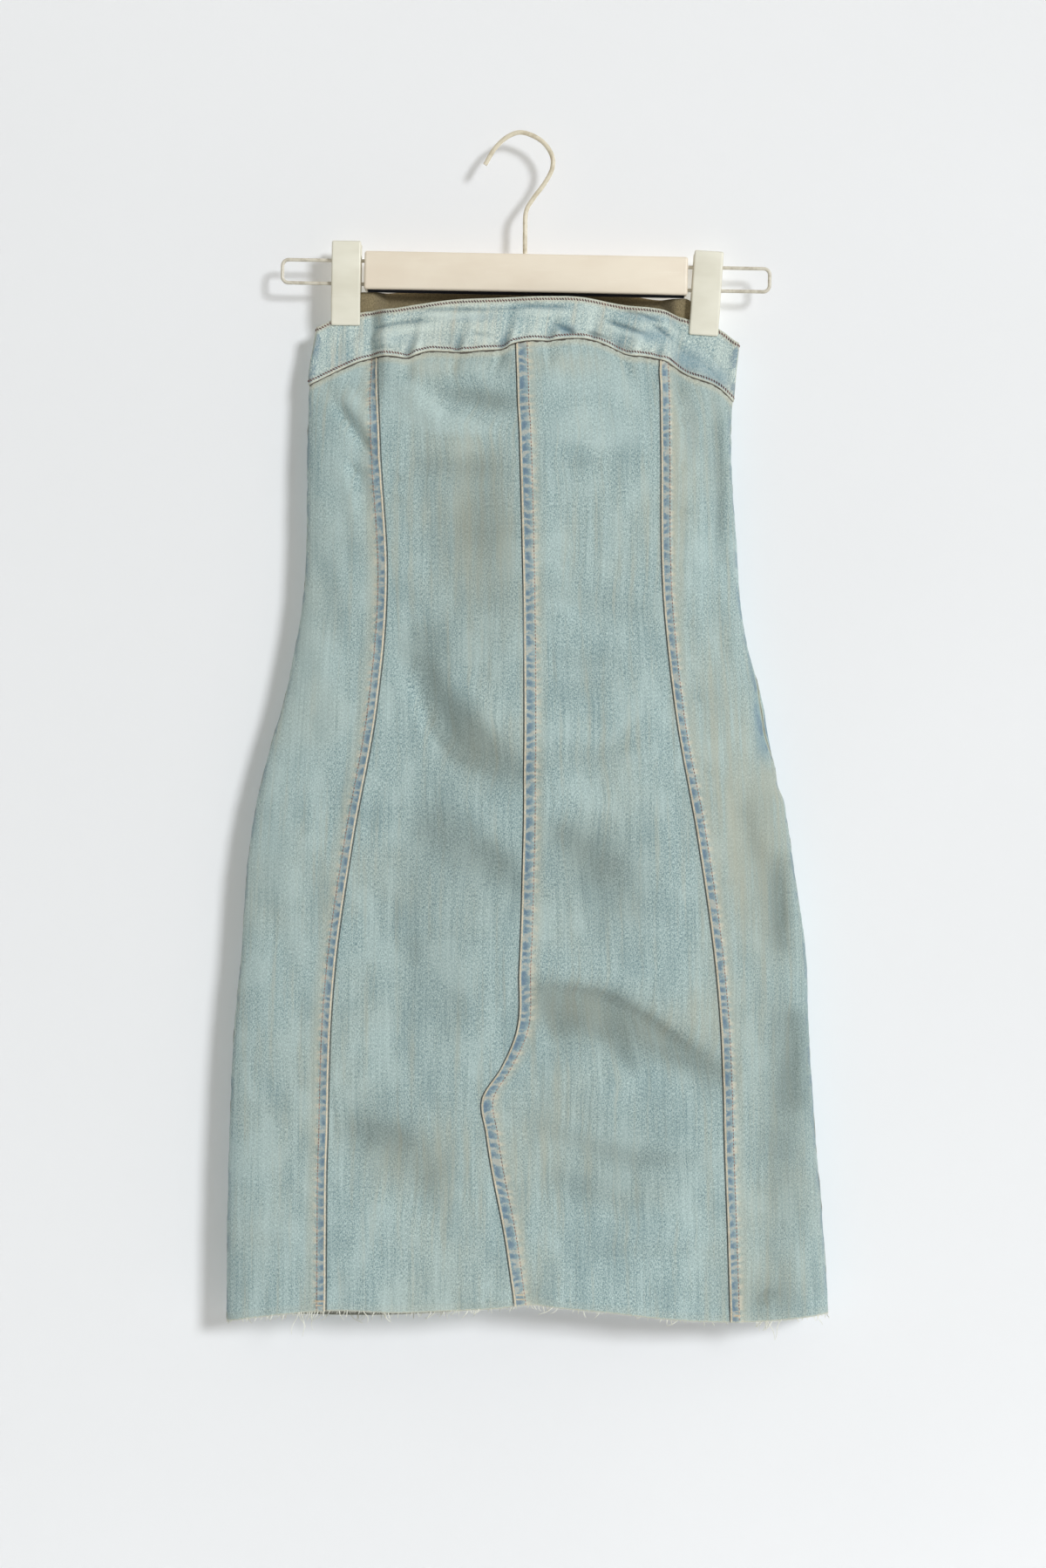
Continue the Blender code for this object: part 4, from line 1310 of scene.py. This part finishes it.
stations = np.arange(len(HOOK_ROUTE), dtype=float)
at = np.linspace(0, stations[-1], HOOK_STEPS * (len(HOOK_ROUTE) - 1) + 1)
hook_across = smooth_line(stations, HOOK_ROUTE[:, 0], at)
hook_drop = smooth_line(stations, HOOK_ROUTE[:, 1], at)
hook_route = [Vector((x, 0.0, -d)) * MM for x, d in zip(hook_across, hook_drop)]
hook_plating = wire_finish("hook_plating", paint(220, 211, 190), paint(196, 184, 160))
bent_wire("hook", hook_route, HOOK_WIRE * MM, hook_plating, "hanger_hook")

# The hanger's bar
# A long flat bar moulded in cream plastic, with rounded edges and a channel along its
# underside. The hook is pressed into its top, and the wire rails for the clips into its ends.
BAR_LENGTH = 251.5
BAR_DEPTH = 17.0
BAR_HEIGHT = 29.8
BAR_ROUNDING = 2.0
CHANNEL_DEPTH = 12.0
CHANNEL_MARGIN = BAR_ROUNDING + 0.2
BAR_ACROSS = 2.4
BAR_DROP = 109.1
BAR_MIDDLE = Vector((BAR_ACROSS, 0.0, -BAR_DROP)) * MM
HANGER_TILT = math.radians(1.1)


def moulded_finish(name, light, dull, rubbed, hollow_shade):
    """Satin moulded plastic: a faint orange-peel skin, clouds of warmer colour, fine scuffs, and
    painted shade inside a channel."""
    n = Nodes(name, 0.42)
    clouds = n.noise((14.0, 14.0, 30.0), 3.0, 0.6)
    specks = n.noise((420.0, 420.0, 420.0), 2.0, 0.7)
    scuffs = n.noise((30.0, 200.0, 520.0), 3.0, 0.6)
    colour = n.mix(n.ramp(clouds, 0.35, 0.7), light, dull)
    colour = n.mix(n.ramp(scuffs, 0.58, 0.8, 0.0, 0.35), colour, rubbed)
    colour = n.mix(n.ramp(specks, 0.62, 0.8, 0.0, 0.12), colour, dull)
    # Painted shade inside a channel
    colour = n.mix(n.measure("channel"), colour, hollow_shade)
    n.surface(Base_Color=colour, Roughness=n.ramp(scuffs, 0.4, 0.75, 0.36, 0.56))
    n.bump(specks, 0.15, 0.0002)
    return n.material


def block(middle, size, tilt=0.0):
    """A block with its middle at a place in metres, its size in millimetres."""
    bpy.ops.object.select_all(action="DESELECT")
    bpy.ops.mesh.primitive_cube_add(
        size=1.0, location=middle, rotation=(0.0, tilt, 0.0), scale=Vector(size) * MM
    )
    lasting()
    return bpy.context.object


hanger_bar = block(BAR_MIDDLE, (BAR_LENGTH, BAR_DEPTH, BAR_HEIGHT), HANGER_TILT)
edit()
bpy.ops.mesh.bevel(offset=BAR_ROUNDING * MM, segments=5, affect="EDGES")
bpy.ops.mesh.select_all(action="DESELECT")
done()
for face in hanger_bar.data.polygons:
    face.select = face.normal.z < -0.99 and face.area > 0.001
bpy.ops.object.mode_set(mode="EDIT")
bpy.ops.mesh.inset(thickness=0.3 * MM)
bpy.ops.mesh.extrude_region_move(
    TRANSFORM_OT_translate={"value": (0.0, 0.0, CHANNEL_DEPTH * MM)}
)
done(40)
hanger_bar.name = "bar"
# Faces inside the underside channel are marked for painted shade
channel = hanger_bar.data.attributes.new("channel", "FLOAT", "FACE")
for face in hanger_bar.data.polygons:
    beside = abs(face.center.x - BAR_MIDDLE.x) < (BAR_LENGTH / 2 - CHANNEL_MARGIN) * MM
    within = abs(face.center.y) < (BAR_DEPTH / 2 - CHANNEL_MARGIN) * MM
    channel.data[face.index].value = float(beside and within and face.normal.z < 0.5)
# The last colour is the painted shade inside the channel
bar_plastic = moulded_finish(
    "bar_plastic", paint(238, 227, 210), paint(232, 219, 201), paint(244, 235, 221),
    paint(52, 54, 64),
)
hanger_bar.data.materials.append(bar_plastic)
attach(hanger_bar, "root")
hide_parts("hanger_bar")

# The rails for the clips
# A loop of thinner wire sticks out of each end of the bar, and its clip slides along it.
RAIL_WIRE = 2.8
RAIL_HEIGHT = 18.0
RAIL_LOWER = 0.8
RAIL_REACH = 191.4
RAIL_CORNER = 4.8
rail_plating = wire_finish("rail_plating", paint(214, 208, 194), paint(184, 176, 160))


def on_hanger(across, height):
    """A place on the tilted hanger, from its place along the bar and above its middle."""
    turned_x = across * math.cos(HANGER_TILT) + height * math.sin(HANGER_TILT)
    turned_z = height * math.cos(HANGER_TILT) - across * math.sin(HANGER_TILT)
    return BAR_MIDDLE + Vector((turned_x, 0.0, turned_z)) * MM


for hand, sign in (("left", -1), ("right", 1)):
    start = BAR_LENGTH / 2 + SEAM_GAP
    bend = RAIL_REACH - RAIL_WIRE / 2 - RAIL_CORNER
    half = RAIL_HEIGHT / 2
    route = [on_hanger(sign * x, half - RAIL_LOWER) for x in np.linspace(start, bend, 5)[:-1]]
    for middle, first in ((half - RAIL_CORNER, 90), (RAIL_CORNER - half, 0)):
        for angle in np.radians(np.linspace(first, first - 90, 9)):
            across = bend + RAIL_CORNER * math.cos(angle)
            height = middle + RAIL_CORNER * math.sin(angle) - RAIL_LOWER
            route.append(on_hanger(sign * across, height))
    route += [on_hanger(sign * x, -half - RAIL_LOWER) for x in np.linspace(bend, start, 5)[1:]]
    bent_wire("rail_" + hand, route, RAIL_WIRE * MM, rail_plating, "hanger_rail_" + hand)

# The clips
# Two cream plates on a pivot are pushed together at the bottom by a wire spring between them.
# Each plate is straight above, slants in below and has a short straight lip that grips the band.
CLIP_HEIGHT = 65.5
JAW = 2.35
JAW_GRIP = PINCHED + DOUBLE_DENIM / 2 + SEAM_GAP
JAW_OPEN = 5.0
JAW_GRIP_HEIGHT = 9.0
JAW_SLOPE_END = 16.0
CLIP_CORNER = 1.6
SPRING_WIRE = 1.1
PIVOT_PLAY = 1.1
PIVOT_SHORTER = 3.0
PIVOT_SUNK = 0.4
# The last colour is painted shade for a channel, which the clips don't have
clip_plastic = moulded_finish(
    "clip_plastic", paint(233, 230, 216), paint(220, 216, 200), paint(238, 236, 226),
    paint(120, 118, 110),
)
spring_steel = wire_finish("spring_steel", paint(206, 208, 206), paint(150, 150, 148))


def clip_plate(name, facing):
    """One plate, standing at the origin: a thin block cut across at the bends, its lower part
    pushed in to the lip, its outer corners rounded and its edges softened."""
    middle = Vector((0.0, facing * (JAW_OPEN + JAW / 2), CLIP_HEIGHT / 2)) * MM
    plate = block(middle, (CLIP_WIDTH, JAW, CLIP_HEIGHT))
    edit("DESELECT")
    done()
    for edge in plate.data.edges:
        ends = [plate.data.vertices[v].co for v in edge.vertices]
        edge.select = abs(ends[0].y - ends[1].y) > JAW * MM / 2
    bpy.ops.object.mode_set(mode="EDIT")
    bpy.ops.mesh.bevel(offset=CLIP_CORNER * MM, segments=5, affect="EDGES")
    for height in (JAW_GRIP_HEIGHT, JAW_SLOPE_END):
        bpy.ops.mesh.select_all(action="SELECT")
        bpy.ops.mesh.bisect(plane_co=(0.0, 0.0, height * MM), plane_no=(0.0, 0.0, 1.0))
    bpy.ops.mesh.select_all(action="DESELECT")
    done()
    for vertex in plate.data.vertices:
        vertex.select = vertex.co.z < (JAW_GRIP_HEIGHT + 0.1) * MM
    bpy.ops.object.mode_set(mode="EDIT")
    inward = -facing * (JAW_OPEN - JAW_GRIP) * MM
    bpy.ops.transform.translate(value=(0.0, inward, 0.0))
    done()
    soften = plate.modifiers.new("soften", "BEVEL")
    soften.width = 0.5 * MM
    soften.segments = 3
    soften.limit_method = "ANGLE"
    soften.angle_limit = math.radians(50)
    bpy.ops.object.modifier_apply(modifier="soften")
    done(35)
    plate.name = name
    plate.data.materials.append(clip_plastic)
    return plate


def clip_pivot(name, low, high):
    """The block between the plates that they turn on, with rounded long edges."""
    middle = Vector((0.0, 0.0, (low + high) / 2)) * MM
    pivot = block(middle, (CLIP_WIDTH - PIVOT_SHORTER, 2 * JAW_OPEN + PIVOT_SUNK, high - low))
    edit()
    bpy.ops.mesh.bevel(offset=1.0 * MM, segments=3, affect="EDGES")
    done(40)
    pivot.name = name
    pivot.data.materials.append(clip_plastic)
    return pivot


# The spring's coil: steps in a turn, number of steps, radius, and how far it creeps in a turn
COIL_STEPS = 12
COIL_LENGTH = 25
COIL_RADIUS = 2.6
COIL_CREEP = 0.95
# Its leg's two bends: distance out from the pivot's middle, and below it
SPRING_LEG = ((3.6, 3.0), (4.4, 7.0))


def spring(name, height):
    """A bent spring wire: a coil at each end of the pivot, and a leg to the back plate."""
    points = []
    faces = []
    for sign in (-1, 1):
        route = []
        for step in range(COIL_LENGTH):
            angle = math.radians(360 / COIL_STEPS * step + 200)
            x = sign * (CLIP_WIDTH / 2 - 1.2 - COIL_CREEP * step / COIL_STEPS)
            across = COIL_RADIUS * math.sin(angle)
            route.append(np.array([x, across, height + COIL_RADIUS * math.cos(angle)]))
        route += [np.array([x, out, height - below]) for out, below in SPRING_LEG]
        strand(points, faces, route, SPRING_WIRE, sides=8, taper=0.0, across=(1.0, 0.0, 0.0))
    made = make_mesh(name, points, faces)
    made.data.materials.append(spring_steel)
    return made


for hand, (across, drop, lean) in CLIPS.items():
    rail_middle = BAR_DROP + RAIL_LOWER + (across - BAR_ACROSS) * math.tan(HANGER_TILT)
    room_in_rail = RAIL_HEIGHT / 2 - RAIL_WIRE / 2 - PIVOT_PLAY
    low = drop - rail_middle - room_in_rail
    high = drop - rail_middle + room_in_rail
    front_plate = clip_plate("clip_plate_front_" + hand, -1)
    back_plate = clip_plate("clip_plate_back_" + hand, 1)
    pivot = clip_pivot("clip_pivot_" + hand, low, high)
    coil = spring("clip_spring_" + hand, (low + high) / 2)
    for piece in (front_plate, back_plate, pivot, coil):
        bpy.ops.object.select_all(action="DESELECT")
        piece.select_set(True)
        bpy.context.view_layer.objects.active = piece
        piece.rotation_euler = (0.0, lean, 0.0)
        piece.location = Vector((across, 0.0, -drop)) * MM
        lasting()
        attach(piece, "root")
    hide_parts("clip_" + hand)

# The room
# A pale wall close behind the dress, as the hanger hangs flat, and a pale floor below.
WALL_BEHIND = 21.0
WALL_LEAN = math.radians(0.7)
WALL_WIDTH = 7.0
FLOOR_DROP = 1300.0
FLOOR_WIDTH = 8.0


def plain_paint(name, colour, see_through):
    """Matt wall paint with a faint roller texture. The one that is see_through casts no shadow
    and can't be seen from behind."""
    n = Nodes(name, 0.9)
    roller = n.noise((260.0, 260.0, 260.0), 3.0, 0.6)
    broad = n.noise((1.4, 1.4, 1.4), 2.0, 0.5)
    dimmer = tuple(0.97 * c for c in colour[:3]) + (1.0,)
    n.surface(Base_Color=n.mix(n.ramp(broad, 0.35, 0.7), colour, dimmer))
    n.bump(roller, 0.12, 0.0004)
    if see_through:
        behind = n.add("NewGeometry").outputs["Backfacing"]
        shadow = n.add("LightPath").outputs["Is Shadow Ray"]
        clear = n.add("BsdfTransparent").outputs[0]
        both = n.add("MixShader")
        n.join(n.calculate("MAXIMUM", behind, shadow), both.inputs[0])
        n.join(n.shader.outputs[0], both.inputs[1])
        n.join(clear, both.inputs[2])
        n.join(both.outputs[0], n.tree.nodes["Material Output"].inputs["Surface"])
    return n.material


bpy.ops.object.select_all(action="DESELECT")
bpy.ops.mesh.primitive_plane_add(
    size=WALL_WIDTH, location=(0.0, WALL_BEHIND * MM, 0.0),
    rotation=(math.radians(90) + WALL_LEAN, 0.0, 0.0),
)
wall = bpy.context.object
lasting()
wall.name = "wall"
wall.data.materials.append(plain_paint("wall_paint", paint(239, 240, 244), True))
bpy.ops.object.select_all(action="DESELECT")
bpy.ops.mesh.primitive_plane_add(size=FLOOR_WIDTH, location=(0.0, -1.0, -FLOOR_DROP * MM))
floor = bpy.context.object
floor.name = "floor"
floor.data.materials.append(plain_paint("floor_paint", paint(232, 232, 230), False))

# The light and the camera
# One soft lamp to the upper right of the viewer, a weak fill from the left, a weak lamp behind
# for views of the back, and a pale room around them.
DRESS_MIDDLE = Vector((0.0, 0.0, -0.5062))
VIEW_DISTANCE = 2.0
VIEW_HEIGHT = 1.2226


def soft_lamp(name, place, width, power, colour):
    light = bpy.data.lights.new(name, "AREA")
    light.shape = "DISK"
    light.size = width
    light.energy = power
    light.color = colour
    lamp = bpy.data.objects.new(name, light)
    lamp.location = place
    lamp.rotation_euler = (DRESS_MIDDLE - Vector(place)).to_track_quat("-Z", "Y").to_euler()
    bpy.context.scene.collection.objects.link(lamp)


soft_lamp("lamp", (9.6, -13.8, 4.6), 3.9, 1910.0, (0.95, 0.98, 1.0))
soft_lamp("fill", (-1.6, -5.0, -0.4), 3.4, 9.0, (1.0, 0.99, 0.97))
soft_lamp("behind", (0.8, 2.6, 0.5), 1.6, 62.0, (1.0, 1.0, 1.0))
room = bpy.data.worlds.new("pale_room")
room.use_nodes = True
background = room.node_tree.nodes["Background"].inputs
background["Color"].default_value = (1.0, 0.962, 0.845, 1.0)
background["Strength"].default_value = 0.37
bpy.context.scene.world = room
bpy.context.scene.view_settings.view_transform = "Standard"

lens = bpy.data.cameras.new("camera")
lens.sensor_fit = "VERTICAL"
lens.sensor_height = 36.0
lens.lens = lens.sensor_height * VIEW_DISTANCE / VIEW_HEIGHT
camera = bpy.data.objects.new("camera", lens)
camera.location = DRESS_MIDDLE + Vector((0.0, -VIEW_DISTANCE, 0.0))
camera.rotation_euler = (math.radians(90), 0.0, 0.0)
bpy.context.scene.collection.objects.link(camera)
bpy.context.scene.camera = camera
